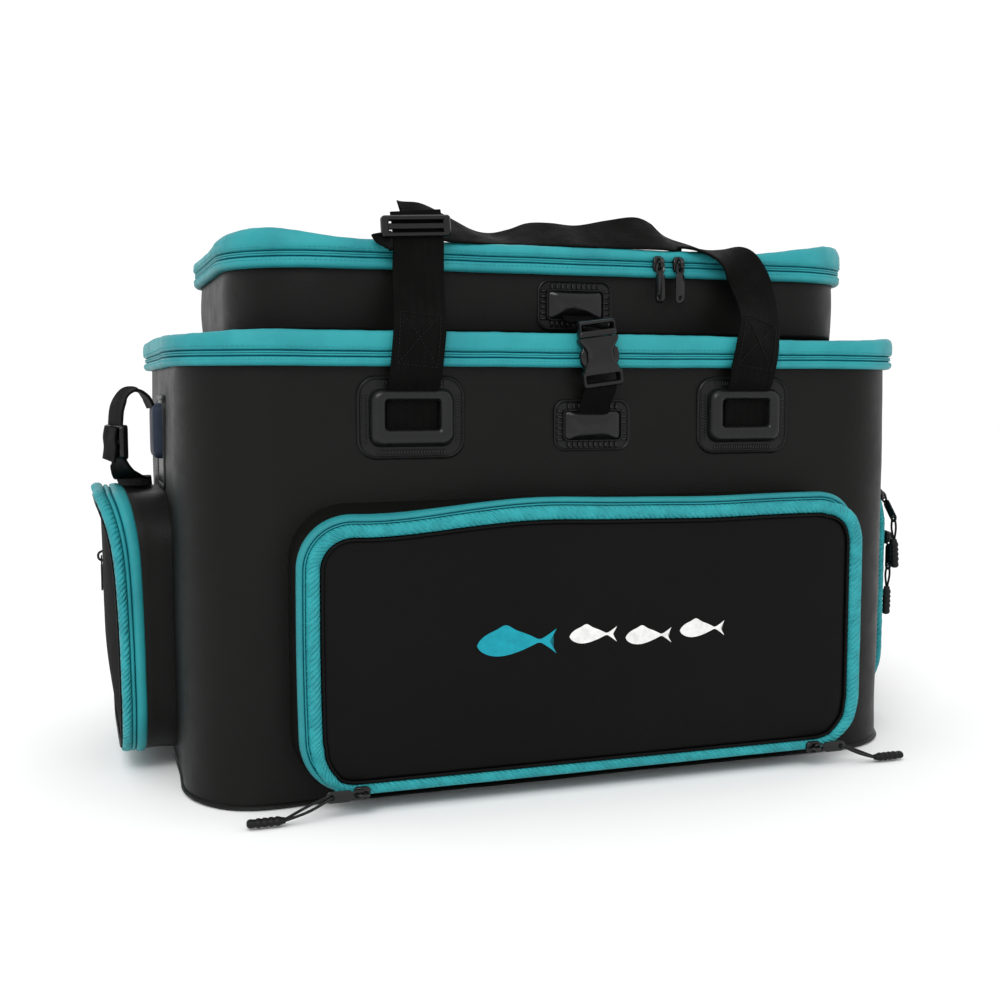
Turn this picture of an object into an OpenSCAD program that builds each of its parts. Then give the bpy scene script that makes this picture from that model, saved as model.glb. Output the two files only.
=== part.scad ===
// Two-storey welded tackle bag: a big zipped box with a smaller zipped bag buckled on its lid,
// a front pocket, two side pockets, two carrying handles and a shoulder strap.
// Origin: middle of the flat base. +X is the bag's right, +Z is up and the front faces -Y.

/* [Lower box] */
// Width of the lower box
body_w = 580; // [540:5:620]
// Depth of the lower box, front to back
body_d = 350; // [330:5:380]
// Radius of the four upright corners
corner_r = 66; // [50:1:75]
// Height at which the lower zipper parts the lid from the box
lower_split_z = 317; // [310:1:330]
// Thickness of the welded foam wall
wall_t = 4; // [3:0.5:6]
// Height of the drawn-in foot of the lower box
foot_h = 33; // [28:1:40]
// How far the foot is drawn in at the floor
foot_in = 10; // [6:1:12]

/* [Upper bag] */
// How far the upper bag stands in from the lower box on every side
step_in = 35; // [30:1:45]
// Sideways offset of the upper bag and the buckle
shift_x = 6; // [0:1:10]
// Height at which the upper zipper parts the lid from the bag
upper_split_z = 388.5; // [380:0.5:400]

/* [Zipper bands] */
// How far the coloured bands stand proud of the walls
band_proud = 7; // [5:0.5:9]
// Height of the lower band below its split
band_below = 8.5; // [7:0.5:10]
// Height of the upper band below its split
top_band_below = 10; // [8:0.5:12]
// Height of the lower lid's band above the split
lid_band_above = 16; // [14:0.5:18]
// Height of the upper lid's band above the split
top_band_above = 11; // [9:0.5:13]
// Height of half of the zipper coil
coil_half = 2.4; // [2:0.1:3]

/* [Front pocket] */
// Width of the front pocket
front_w = 441; // [420:1:460]
// Height of the front pocket
front_h = 199; // [180:1:205]
// Corner radius of the front pocket
front_r = 40; // [30:1:50]
// How far the front pocket stands out
front_out = 35; // [30:1:40]
// Height of the pockets' lower edge above the floor
pocket_z = 14.5; // [12:0.5:18]

/* [Side pockets] */
// Width of a side pocket, front to back
side_w = 172; // [150:1:180]
// Corner radius of a side pocket
side_r = 45; // [40:1:55]
// How far a side pocket stands out
side_out = 42; // [36:1:48]
// Distance of the side pockets' middle behind the bag's middle
side_y = 5; // [0:1:8]

/* [Webbing and handles] */
// Width of the handle webbing
handle_web_w = 38; // [36:1:40]
// Thickness of all webbing
web_t = 2.4; // [2:0.1:3]
// Distance of the handle legs from the middle
handle_leg_x = 132; // [125:1:140]
// Height of the top of the raised front handle
handle_top_z = 419; // [412:1:424]
// Width of the buckle webbing
buckle_web_w = 25; // [23:1:26]

/* [Hidden] */
$fn = 48;
gap = 0.2;
turquoise = [0.16, 0.70, 0.72];
black_foam = [0.10, 0.10, 0.10];
black_web = [0.06, 0.06, 0.06];
black_plastic = [0.14, 0.14, 0.15];
side_plastic = [0.20, 0.23, 0.27];

// base and lid
floor_t = 5;
panel_t = 6;
lower_lid_z = lower_split_z + 8;
lid_top_z = lower_lid_z + panel_t;
front_y = -body_d / 2;
rear_y = body_d / 2;
side_x = body_w / 2;

// upper bag
upper_w = body_w - 2 * step_in;
upper_d = body_d - 2 * step_in;
upper_base_z = lid_top_z + gap;
upper_base_h = 3;
upper_front_y = -upper_d / 2;
upper_lid_z = upper_split_z + 3;

// pockets
zip_strip_w = 4.2;
zip_coil_w = 2.2;
flap_inset = zip_strip_w + zip_coil_w + 0.4;
flap_band_w = 8.5;
zip_h = 6;
flap_back = 0.4;
side_bulge = 1;

// handle patches
patch_w = 79;
patch_h = 59;
patch_z = 272.5;
patch_base_t = 3;
patch_frame_w = 61.5;
patch_frame_h = 41;
patch_frame_t = 9;
patch_window_w = 39;
patch_window_h = 20;
handle_root_z = 297;
handle_root_y = front_y - 11.4;
handle_mid_y = front_y - 20.5;
handle_lean_z = 336;
handle_rear_y = rear_y + 10.2;
handle_bar_h = 22;
rear_drop = 140;

// buckle
buckle_x = shift_x;
lower_patch_z = 266;
upper_patch_z = 356;
small_patch_w = 61;
small_patch_h = 38;
pillow_w = 44;
pillow_h = 20.5;
socket_w = 34;
socket_t = 10;
socket_back_y = front_y - 8.3;
socket_z0 = 296;
socket_z1 = 330;
plug_z1 = 346;
cavity_w = 29;
cavity_t = 6.4;
prong_z = 330;
prong_x = 10.5;
socket_mid_y = socket_back_y - socket_t / 2;

// side patches and shoulder strap
side_patch_w = 72;
side_patch_z0 = 214;
side_patch_h = 74;
side_pillow_z = 260;
side_pillow_h = 41;
shoulder_web_w = 30;
adjuster_place = [325.5, 10, 251];

// zipper sliders; a pocket's slider sits clear of the flap, over the fixed strip and coil
slider_gap = 0.4;
slider_in = 2.1;
upper_slider_x = [72, 89];
lower_slider_y = 42;
right_high_a = 42;
right_low_z = 160;
left_slider_z = 150;
foot_slider_x = 178;
pin_out = 5.2;
tab_len = 30;

// ---------- shared shapes ----------

// Rounded rectangle made of squares and true circles
module rounded(w, h, r) {
    square([w - 2 * r, h], center = true);
    square([w, h - 2 * r], center = true);
    for (sx = [-1, 1], sy = [-1, 1])
        translate([sx * (w / 2 - r), sy * (h / 2 - r)]) circle(r);
}

// Flat ring between two rounded rectangles, growing outwards by out and inwards by into
module ring(w, h, r, out, into) {
    difference() {
        rounded(w + 2 * out, h + 2 * out, r + out);
        rounded(w - 2 * into, h - 2 * into, r - into);
    }
}

// A 2D outline drawn in X and Z, extruded towards -Y from a distance in front of the XZ plane
module outward(from, depth) {
    rotate([90, 0, 0]) translate([0, 0, from]) linear_extrude(depth) children();
}

// A 2D outline drawn in Y and Z, extruded along X about the middle
module across(width) {
    rotate([90, 0, 90]) translate([0, 0, -width / 2]) linear_extrude(width) children();
}

function unit(v) = v / norm(v);
function along(path, i) = unit(path[min(i + 1, len(path) - 1)] - path[max(i - 1, 0)]);
function beside(path, i, d) = path[i] + d * [-along(path, i)[1], along(path, i)[0]];

// Outline of a strap of thickness t that follows a 2D path
function strap_outline(path, t) = concat(
    [for (i = [0:len(path) - 1]) beside(path, i, t / 2)],
    [for (i = [len(path) - 1:-1:0]) beside(path, i, -t / 2)]
);

module front_place() translate([0, front_y, 0]) children();
module left_place() translate([-side_x, side_y, 0]) rotate([0, 0, -90]) children();
module right_place() translate([side_x, side_y, 0]) rotate([0, 0, 90]) children();

// ---------- lower box and its lid ----------

// Solid that widens from height z up to height z + h as the foot does, drawn in by a further skin
module foot(z, h, skin) {
    low = skin + foot_in * (1 - z / foot_h);
    high = skin + foot_in * (1 - (z + h) / foot_h);
    translate([0, 0, z])
        linear_extrude(h, scale = [(body_w - 2 * high) / (body_w - 2 * low),
                                   (body_d - 2 * high) / (body_d - 2 * low)])
            rounded(body_w - 2 * low, body_d - 2 * low, corner_r - low);
}

// Floor tray that widens from the flat base up to the walls
module base_sole() {
    color(black_foam)
    difference() {
        foot(0, foot_h, 0);
        foot(floor_t, foot_h - floor_t + 1, wall_t);
    }
}

module lower_shell() {
    color(black_foam)
    translate([0, 0, foot_h])
        linear_extrude(lower_split_z - gap / 2 - foot_h) ring(body_w, body_d, corner_r, 0, wall_t);
}

module lower_band() {
    color(turquoise)
    translate([0, 0, lower_split_z - band_below])
        linear_extrude(band_below - coil_half) ring(body_w, body_d, corner_r, band_proud, 0);
}

module lower_coil() {
    color(turquoise)
    translate([0, 0, lower_split_z - coil_half])
        linear_extrude(coil_half - gap / 2) ring(body_w, body_d, corner_r, band_proud - 1, 0);
}

module lower_lid_panel() {
    color(black_foam)
    translate([0, 0, lower_lid_z]) linear_extrude(panel_t) rounded(body_w, body_d, corner_r);
}

module lower_lid_band() {
    color(turquoise) {
        translate([0, 0, lower_split_z + coil_half])
            linear_extrude(lid_band_above - coil_half) ring(body_w, body_d, corner_r, band_proud, 0);
        translate([0, 0, lower_split_z + gap / 2])
            linear_extrude(coil_half - gap / 2) ring(body_w, body_d, corner_r, band_proud - 1, 0);
    }
}

// ---------- upper bag and its lid ----------

module upper_base() {
    color(black_foam)
    translate([shift_x, 0, upper_base_z])
        linear_extrude(upper_base_h) rounded(upper_w, upper_d, corner_r);
}

module upper_shell() {
    shell_z = upper_base_z + upper_base_h;
    color(black_foam)
    translate([shift_x, 0, shell_z])
        linear_extrude(upper_split_z - gap / 2 - shell_z) ring(upper_w, upper_d, corner_r, 0, wall_t);
}

module upper_band() {
    color(turquoise)
    translate([shift_x, 0, upper_split_z - top_band_below])
        linear_extrude(top_band_below - coil_half) ring(upper_w, upper_d, corner_r, band_proud, 0);
}

module upper_coil() {
    color(turquoise)
    translate([shift_x, 0, upper_split_z - coil_half])
        linear_extrude(coil_half - gap / 2) ring(upper_w, upper_d, corner_r, band_proud - 1, 0);
}

module upper_lid_panel() {
    color(black_foam)
    translate([shift_x, 0, upper_lid_z]) linear_extrude(panel_t) rounded(upper_w, upper_d, corner_r);
}

module upper_lid_band() {
    color(turquoise)
    translate([shift_x, 0, upper_split_z]) {
        translate([0, 0, coil_half])
            linear_extrude(top_band_above - coil_half) ring(upper_w, upper_d, corner_r, band_proud, 0);
        translate([0, 0, gap / 2])
            linear_extrude(coil_half - gap / 2) ring(upper_w, upper_d, corner_r, band_proud - 1, 0);
    }
}

// ---------- pockets: outlines in X and Z, built towards -Y ----------

module pocket_wall(w, r, out) {
    color(black_foam)
    outward(0, out - zip_h - 1) translate([0, pocket_z + front_h / 2]) ring(w, front_h, r, 0, wall_t);
}

module pocket_zip(w, r, out) {
    color(turquoise)
    translate([0, 0, pocket_z + front_h / 2]) {
        outward(out - zip_h - 1, zip_h) ring(w, front_h, r, 0, zip_strip_w);
        outward(out - zip_h - 1, zip_h - 1)
            ring(w - 2 * zip_strip_w, front_h - 2 * zip_strip_w, r - zip_strip_w, 0, zip_coil_w);
    }
}

module flap_band(w, r, out) {
    color(turquoise)
    translate([0, 0, pocket_z + front_h / 2])
        outward(out - zip_h - 1 + flap_back, zip_h + 1 - flap_back)
            ring(w - 2 * flap_inset, front_h - 2 * flap_inset, r - flap_inset, 0, flap_band_w);
}

module flap_panel(w, r, out, bulge) {
    inset = flap_inset + flap_band_w;
    color(black_foam)
    translate([0, 0, pocket_z + front_h / 2])
        outward(out - zip_h + flap_back, zip_h - 1 - flap_back + bulge)
            rounded(w - 2 * inset, front_h - 2 * inset, r - inset);
}

module front_pocket_wall() front_place() pocket_wall(front_w, front_r, front_out);
module front_pocket_zip() front_place() pocket_zip(front_w, front_r, front_out);
module front_flap_panel() front_place() flap_panel(front_w, front_r, front_out, 0);
module front_flap_band() front_place() flap_band(front_w, front_r, front_out);
module left_pocket_wall() left_place() pocket_wall(side_w, side_r, side_out);
module left_pocket_zip() left_place() pocket_zip(side_w, side_r, side_out);
module left_flap_panel() left_place() flap_panel(side_w, side_r, side_out, side_bulge);
module left_flap_band() left_place() flap_band(side_w, side_r, side_out);
module right_pocket_wall() right_place() pocket_wall(side_w, side_r, side_out);
module right_pocket_zip() right_place() pocket_zip(side_w, side_r, side_out);
module right_flap_panel() right_place() flap_panel(side_w, side_r, side_out, side_bulge);
module right_flap_band() right_place() flap_band(side_w, side_r, side_out);

// ---------- handle patches and handles ----------

// Moulded patch: a sewn base with a raised frame round a window
module handle_patch() {
    color(black_plastic)
    translate([0, 0, patch_z]) {
        outward(0, patch_base_t) rounded(patch_w, patch_h, 14);
        outward(patch_base_t, patch_frame_t - patch_base_t)
            difference() {
                rounded(patch_frame_w, patch_frame_h, 8);
                translate([0, 2]) rounded(patch_window_w, patch_window_h, 2);
            }
    }
}

module front_patch(side) translate([side * handle_leg_x, front_y, 0]) handle_patch();
module rear_patch(side) translate([side * handle_leg_x, rear_y, 0]) rotate([0, 0, 180]) handle_patch();
module patch_front_left() front_patch(-1);
module patch_front_right() front_patch(1);
module patch_rear_left() rear_patch(-1);
module patch_rear_right() rear_patch(1);

// Raised handle: both legs step forwards over the zipper band, then stand upright
module front_handle() {
    path = [[handle_root_y, handle_root_z], [handle_root_y - 1.6, handle_root_z + 9],
            [handle_mid_y, handle_lean_z], [handle_mid_y, handle_top_z]];
    span = 2 * handle_leg_x + handle_web_w;
    color(black_web) {
        for (side = [-1, 1])
            translate([side * handle_leg_x, 0, 0])
                across(handle_web_w) polygon(strap_outline(path, web_t));
        translate([-span / 2, handle_mid_y - web_t / 2, handle_top_z - handle_bar_h])
            cube([span, web_t, handle_bar_h]);
    }
}

// Three-bar slide on the left leg; the webbing runs through its slot
module handle_glide() {
    glide_w = 50;
    glide_h = 14;
    glide_t = 7;
    slot = web_t + 0.2;
    color(black_plastic)
    translate([-handle_leg_x, handle_mid_y, handle_top_z - handle_bar_h - glide_h - 1])
        difference() {
            translate([-glide_w / 2, -glide_t / 2, 0]) cube([glide_w, glide_t, glide_h]);
            translate([-handle_web_w / 2 - 0.2, -slot / 2, -1])
                cube([handle_web_w + 0.4, slot, glide_h + 2]);
        }
}

// Handle at the back, hanging down
module rear_handle() {
    span = 2 * handle_leg_x + handle_web_w;
    color(black_web)
    translate([0, handle_rear_y, handle_root_z - rear_drop]) {
        for (side = [-1, 1])
            translate([side * handle_leg_x - handle_web_w / 2, 0, 0])
                cube([handle_web_w, web_t, rear_drop]);
        translate([-span / 2, 0, 0]) cube([span, web_t, handle_bar_h]);
    }
}

// ---------- buckle between the two storeys ----------

module small_patch() {
    color(black_plastic) {
        outward(0, 3) rounded(small_patch_w, small_patch_h, 9);
        outward(3, 4.5) rounded(pillow_w, pillow_h, 3);
    }
}

module lower_buckle_patch() translate([buckle_x, front_y, lower_patch_z]) small_patch();
module upper_buckle_patch() translate([buckle_x, upper_front_y, upper_patch_z]) small_patch();

// Short strap from the lower patch to the bar of the socket
module lower_buckle_web() {
    path = [[front_y - 4.4, lower_patch_z + pillow_h / 2 + 1], [front_y - 6, lower_patch_z + 17],
            [socket_mid_y, socket_z0 - 4], [socket_mid_y, socket_z0 - gap]];
    color(black_web)
    translate([buckle_x, 0, 0]) across(buckle_web_w) polygon(strap_outline(path, web_t));
}

// Strap from the upper patch, over the lid's edge, to the top of the plug
module upper_buckle_web() {
    path = [[upper_front_y - 8.8, upper_patch_z - 3], [upper_front_y - 12, upper_patch_z - 6],
            [socket_mid_y + 10, plug_z1 + 6], [socket_mid_y, plug_z1 + 3.5],
            [socket_mid_y, plug_z1 + gap]];
    color(black_web)
    translate([buckle_x, 0, 0]) across(buckle_web_w) polygon(strap_outline(path, web_t));
}

// Half of the buckle that the plug's prongs push into, with a window on each side
module buckle_socket() {
    color(black_plastic)
    translate([buckle_x, socket_mid_y, 0])
        difference() {
            translate([-socket_w / 2, -socket_t / 2, socket_z0])
                cube([socket_w, socket_t, socket_z1 - socket_z0]);
            translate([-cavity_w / 2, -cavity_t / 2, socket_z0 + 9])
                cube([cavity_w, cavity_t, socket_z1 - socket_z0]);
            translate([-socket_w, -cavity_t / 2, socket_z0 + 13])
                cube([2 * socket_w, cavity_t, 14]);
            translate([-buckle_web_w / 2, -socket_t, socket_z0 + 2.5])
                cube([buckle_web_w, 2 * socket_t, 3.5]);
        }
}

// Half of the buckle that carries the prongs, with its guide tongue
module buckle_plug() {
    plug_h = plug_z1 - prong_z - 0.3;
    color(black_plastic)
    translate([buckle_x, socket_mid_y, 0]) {
        difference() {
            translate([-15, -socket_t / 2 + 1, prong_z + 0.3]) cube([30, socket_t - 2, plug_h]);
            translate([-buckle_web_w / 2, -socket_t, plug_z1 - 7])
                cube([buckle_web_w, 2 * socket_t, 3.5]);
        }
        translate([-3, -1.5, socket_z0 + 12]) cube([6, 3, prong_z + 0.3 - socket_z0 - 12]);
    }
}

// Springy arm with its barb on the outer side
module prong(side) {
    arm = 1.5;
    barb = 3.1;
    thick = 3.5;
    outline = [[-arm, 0], [arm, 0], [arm, -8], [barb, -9], [barb, -17], [arm, -21], [-arm, -21]];
    color(black_plastic)
    translate([buckle_x + side * prong_x, socket_mid_y, prong_z])
        outward(-thick / 2, thick) polygon([for (p = outline) [side * p[0], p[1]]]);
}

module buckle_prong_left() prong(-1);
module buckle_prong_right() prong(1);

// ---------- side patches and shoulder strap ----------

module side_patch() {
    color(side_plastic)
    translate([0, 0, side_patch_z0 + side_patch_h / 2])
        outward(0, 3) rounded(side_patch_w, side_patch_h, 12);
    color(side_plastic)
    translate([0, 0, side_pillow_z]) outward(3, 6) rounded(48, side_pillow_h, 5);
}

module side_patch_left() translate([-side_x, 0, 0]) rotate([0, 0, -90]) side_patch();
module side_patch_right() translate([side_x, 0, 0]) rotate([0, 0, 90]) side_patch();

// Route of the shoulder strap's middle line on the bag's right half, from the side patch to the
// middle of the back, and the direction in which its width lies at each point
strap_route = [
    [300, 0, 276], [305, 0, 286], [313, 2, 291], [321, 5, 287], [325.5, 8, 277], [325.5, 10, 266],
    [325.5, 10, 251], [325.5, 10, 235], [323, 16, 229], [320, 28, 226], [317, 44, 224],
    [314, 62, 222], [311, 80, 220], [309, 94, 217], [307, 105, 209], [303, 116, 198],
    [294, 127, 186], [286.5, 145, 171], [275, 160, 158], [260.5, 171.5, 148], [243, 178.5, 140],
    [224, 180.5, 134], [180, 180.5, 123], [135, 180.5, 114], [90, 180.5, 108], [45, 180.5, 104],
    [0, 180.5, 103]
];
strap_width_dir = [
    [0, 1, 0], [0, 1, 0], [0, 1, 0], [0, 1, 0], [0, 1, 0], [0, 1, 0],
    [0, 1, 0], [0, 1, 0], [0.4, 1, 0], [1, 0.9, 0], [1, 0.3, 0],
    [1, 0, 0], [1, 0, 0], [1, 0, 0.1], [1, 0, 0.4], [0.7, 0, 0.8],
    [0.2, 0, 1], [0, 0, 1], [0, 0, 1], [0, 0, 1], [0, 0, 1],
    [0, 0, 1], [0, 0, 1], [0, 0, 1], [0, 0, 1], [0, 0, 1],
    [0, 0, 1]
];

function flip(v) = [-v[0], v[1], v[2]];
half = len(strap_route);
full_route = concat([for (p = strap_route) p], [for (i = [half - 2:-1:0]) flip(strap_route[i])]);
full_width = concat([for (d = strap_width_dir) d], [for (i = [half - 2:-1:0]) flip(strap_width_dir[i])]);

// Ribbon swept along points, with a rectangle across it at every point
module ribbon(points, widths, w, t) {
    n = len(points);
    ring_pts = [for (i = [0:n - 1])
        let (a = along(points, i),
             d = unit(widths[i] - (widths[i] * a) * a),
             k = cross(a, d))
        each [points[i] - d * w / 2 - k * t / 2, points[i] + d * w / 2 - k * t / 2,
              points[i] + d * w / 2 + k * t / 2, points[i] - d * w / 2 + k * t / 2]];
    sides = [for (i = [0:n - 2], j = [0:3])
        [4 * i + j, 4 * i + (j + 1) % 4, 4 * (i + 1) + (j + 1) % 4, 4 * (i + 1) + j]];
    polyhedron(ring_pts, concat([[3, 2, 1, 0]], sides, [[for (j = [0:3]) 4 * (n - 1) + j]]));
}

module shoulder_strap() {
    color(black_web) ribbon(full_route, full_width, shoulder_web_w, web_t);
}

// Plastic adjusters that the strap passes through on each side
module strap_adjusters() {
    color(black_plastic)
    for (side = [-1, 1])
        translate([side * adjuster_place[0], adjuster_place[1], adjuster_place[2]])
            difference() {
                cube([7, 38, 28], center = true);
                cube([web_t + 0.6, shoulder_web_w + 0.8, 30], center = true);
            }
}

// ---------- zipper sliders and pulls: coil behind y = 0, tab hanging down ----------

module slider_body() {
    color(black_plastic)
    translate([0, -slider_gap, 0]) {
        translate([-4.5, -2.7, -6]) cube([9, 2.7, 12]);
        for (side = [-1, 1])
            translate([side * 3 - 0.7, -7, -3]) cube([1.4, 4.4, 6]);
        translate([-3, -pin_out + slider_gap, 0]) rotate([0, 90, 0]) cylinder(r = 0.9, h = 6);
    }
}

module slider_tab(length) {
    color(black_plastic)
    translate([0, -pin_out, 0]) {
        difference() {
            union() {
                translate([-1.9, 0, 0]) rotate([0, 90, 0]) cylinder(r = 1.9, h = 3.8);
                translate([-1.9, -0.8, -9]) cube([3.8, 1.6, 9]);
            }
            translate([-3, 0, 0]) rotate([0, 90, 0]) cylinder(r = 1.1, h = 6);
        }
        difference() {
            union() {
                translate([-4, -0.8, -length + 4]) cube([8, 1.6, length - 12]);
                translate([0, 0.8, -length + 4]) rotate([90, 0, 0]) cylinder(r = 4, h = 1.6);
            }
            translate([0, 2, -length + 4]) rotate([90, 0, 0]) cylinder(r = 1.5, h = 4);
        }
    }
}

// Cord and rubber grip that hang from the foot of a tab leaning sideways by an angle
module cord_grip(length, lean) {
    color(black_plastic)
    translate([-length * sin(lean), -pin_out, -length * cos(lean)]) {
        translate([0, 0, -22]) cylinder(r = 1.3, h = 24);
        translate([0, 0, -42]) cylinder(r = 4, h = 27);
    }
}

module upper_place(i) translate([upper_slider_x[i], upper_front_y - band_proud, upper_split_z]) children();
module lower_place() translate([side_x + band_proud, lower_slider_y, lower_split_z])
    rotate([0, 0, 90]) children();
module right_high_place() {
    r = side_r - slider_in;
    translate([side_x + side_out, side_y - side_w / 2 + side_r - r * cos(right_high_a),
               pocket_z + front_h - side_r + r * sin(right_high_a)])
        rotate([0, 0, 90]) children();
}
module right_low_place()
    translate([side_x + side_out, side_y - side_w / 2 + slider_in, right_low_z])
        rotate([0, 0, 90]) children();
module left_slider_place()
    translate([-side_x - side_out, side_y + side_w / 2 - slider_in, left_slider_z])
        rotate([0, 0, -90]) children();

module upper_slider_a() upper_place(0) slider_body();
module upper_slider_b() upper_place(1) slider_body();
module upper_tab_a() upper_place(0) slider_tab(tab_len);
module upper_tab_b() upper_place(1) slider_tab(tab_len);
module lower_slider() lower_place() slider_body();
module lower_tab() lower_place() slider_tab(tab_len);
module left_slider() left_slider_place() slider_body();
module left_tab() left_slider_place() slider_tab(tab_len);
module right_slider_a() right_high_place() rotate([0, right_high_a, 0]) slider_body();
module right_slider_b() right_low_place() slider_body();
module right_tab_a() right_high_place() {
    rotate([0, right_high_a, 0]) slider_tab(tab_len);
    cord_grip(tab_len, right_high_a);
}
module right_tab_b() right_low_place() {
    slider_tab(tab_len);
    cord_grip(tab_len, 0);
}

// The front pocket's sliders rest on its lower edge, tab outwards
module foot_place(side) {
    translate([side * foot_slider_x, front_y - front_out, pocket_z + slider_in]) children();
}

module front_slider(side) foot_place(side) rotate([0, side * 90, 0]) slider_body();

// Tab, a short cord and a rubber grip that lies on the ground beside the corner
module front_pull(side) {
    cord_x = 23;
    grip_x = 52;
    grip_r = 4;
    drop = pocket_z + slider_in - grip_r - 0.3;
    reach = grip_x + 2 - cord_x;
    foot_place(side) {
        rotate([0, side * -90, 0]) slider_tab(26);
        color(black_plastic)
        translate([side * cord_x, -pin_out, 0])
            rotate([0, side * (90 + atan(drop / reach)), 0]) cylinder(r = 1.3, h = norm([drop, reach]));
        color(black_plastic)
        translate([side * grip_x, -pin_out, -drop]) rotate([0, side * 90, 0]) cylinder(r = grip_r, h = 27);
    }
}

module front_slider_left() front_slider(-1);
module front_slider_right() front_slider(1);
module front_pull_left() front_pull(-1);
module front_pull_right() front_pull(1);

// ---------- what is drawn ----------

base_sole();
lower_shell();
lower_band();
lower_coil();
lower_lid_panel();
lower_lid_band();
upper_base();
upper_shell();
upper_band();
upper_coil();
upper_lid_panel();
upper_lid_band();
front_pocket_wall();
front_pocket_zip();
front_flap_panel();
front_flap_band();
left_pocket_wall();
left_pocket_zip();
left_flap_panel();
left_flap_band();
right_pocket_wall();
right_pocket_zip();
right_flap_panel();
right_flap_band();
patch_front_left();
patch_front_right();
patch_rear_left();
patch_rear_right();
front_handle();
handle_glide();
rear_handle();
lower_buckle_patch();
lower_buckle_web();
buckle_socket();
upper_buckle_patch();
upper_buckle_web();
buckle_plug();
buckle_prong_left();
buckle_prong_right();
side_patch_left();
side_patch_right();
shoulder_strap();
strap_adjusters();
upper_slider_a();
upper_tab_a();
upper_slider_b();
upper_tab_b();
lower_slider();
lower_tab();
left_slider();
left_tab();
right_slider_a();
right_tab_a();
right_slider_b();
right_tab_b();
front_slider_left();
front_pull_left();
front_slider_right();
front_pull_right();
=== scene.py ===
"""Looks of the two-storey welded tackle bag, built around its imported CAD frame, in millimetres."""
import math

import bmesh
import bpy
import numpy as np
from mathutils import Matrix, Vector, noise


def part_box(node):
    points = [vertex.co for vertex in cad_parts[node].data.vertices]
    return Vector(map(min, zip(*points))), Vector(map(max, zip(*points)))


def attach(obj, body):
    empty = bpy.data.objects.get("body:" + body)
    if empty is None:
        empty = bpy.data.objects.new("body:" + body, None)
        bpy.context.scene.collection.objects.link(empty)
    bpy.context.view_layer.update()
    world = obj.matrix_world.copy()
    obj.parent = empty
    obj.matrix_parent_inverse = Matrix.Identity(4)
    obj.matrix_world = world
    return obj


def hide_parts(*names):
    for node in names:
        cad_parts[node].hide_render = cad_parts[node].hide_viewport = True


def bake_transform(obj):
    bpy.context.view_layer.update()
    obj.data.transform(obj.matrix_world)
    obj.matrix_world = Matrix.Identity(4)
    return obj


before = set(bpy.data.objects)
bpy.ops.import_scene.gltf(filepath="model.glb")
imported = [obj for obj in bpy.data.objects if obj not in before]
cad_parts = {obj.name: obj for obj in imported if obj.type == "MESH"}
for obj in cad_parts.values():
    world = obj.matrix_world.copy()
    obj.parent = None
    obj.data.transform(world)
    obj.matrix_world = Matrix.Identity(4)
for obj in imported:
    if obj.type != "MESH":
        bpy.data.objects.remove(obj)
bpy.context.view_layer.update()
MM = 0.001


# ---------- driving sizes, read from the frame where the frame has them ----------

def node_box(node):
    """A CAD node's lowest and highest corner in millimetres."""
    low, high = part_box(node)
    return np.array(low) / MM, np.array(high) / MM


SHELL_LOW, SHELL_HIGH = node_box("lower_shell")
BODY_W, BODY_D = SHELL_HIGH[0] - SHELL_LOW[0], SHELL_HIGH[1] - SHELL_LOW[1]
CORNER_R = 66.0
FRONT_Y, REAR_Y, SIDE_X = SHELL_LOW[1], SHELL_HIGH[1], SHELL_HIGH[0]
LOWER_SPLIT = SHELL_HIGH[2] + 0.1
UPPER_LOW, UPPER_HIGH = node_box("upper_shell")
UPPER_W, UPPER_D = UPPER_HIGH[0] - UPPER_LOW[0], UPPER_HIGH[1] - UPPER_LOW[1]
UPPER_SPLIT = UPPER_HIGH[2] + 0.1
SHIFT_X = (UPPER_LOW[0] + UPPER_HIGH[0]) / 2
UPPER_FRONT_Y = UPPER_LOW[1]
BAND_PROUD = 7.0
WALL_T = 4.0
WEB_T = 2.2


# ---------- mesh helpers ----------

def make(name, verts, faces, material, uv=None, material_index=None, around=0.0):
    """A smooth-shaded mesh object from points in millimetres. uv is one pair per vertex, in millimetres."""
    mesh = bpy.data.meshes.new(name)
    mesh.from_pydata((np.asarray(verts, float) * MM).tolist(), [], [list(map(int, f)) for f in faces])
    if uv is not None:
        layer = mesh.uv_layers.new(name="UVMap")
        loops = np.zeros(len(mesh.loops), int)
        mesh.loops.foreach_get("vertex_index", loops)
        pairs = np.asarray(uv, float)[loops]
        if around:                      # faces that close a loop run on past its start
            starts = np.zeros(len(mesh.polygons), int)
            totals = np.zeros(len(mesh.polygons), int)
            mesh.polygons.foreach_get("loop_start", starts)
            mesh.polygons.foreach_get("loop_total", totals)
            span = np.maximum.reduceat(pairs[:, 0], starts) - np.minimum.reduceat(pairs[:, 0], starts)
            pairs[:, 0] += around * (np.repeat(span, totals) > around / 2) * (pairs[:, 0] < around / 2)
        layer.data.foreach_set("uv", (pairs * MM).ravel())
    obj = bpy.data.objects.new(name, mesh)
    bpy.context.scene.collection.objects.link(obj)
    for m in material if isinstance(material, (list, tuple)) else [material]:
        mesh.materials.append(m)
    if material_index is not None:
        mesh.polygons.foreach_set("material_index", np.asarray(material_index, np.int32))
    mesh.polygons.foreach_set("use_smooth", [True] * len(mesh.polygons))
    mesh.validate()
    fix_normals(obj)
    return obj


def fix_normals(obj):
    """Turns every face of a closed mesh outwards."""
    bm = bmesh.new()
    bm.from_mesh(obj.data)
    bmesh.ops.recalc_face_normals(bm, faces=bm.faces)
    bm.to_mesh(obj.data)
    bm.free()


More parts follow.
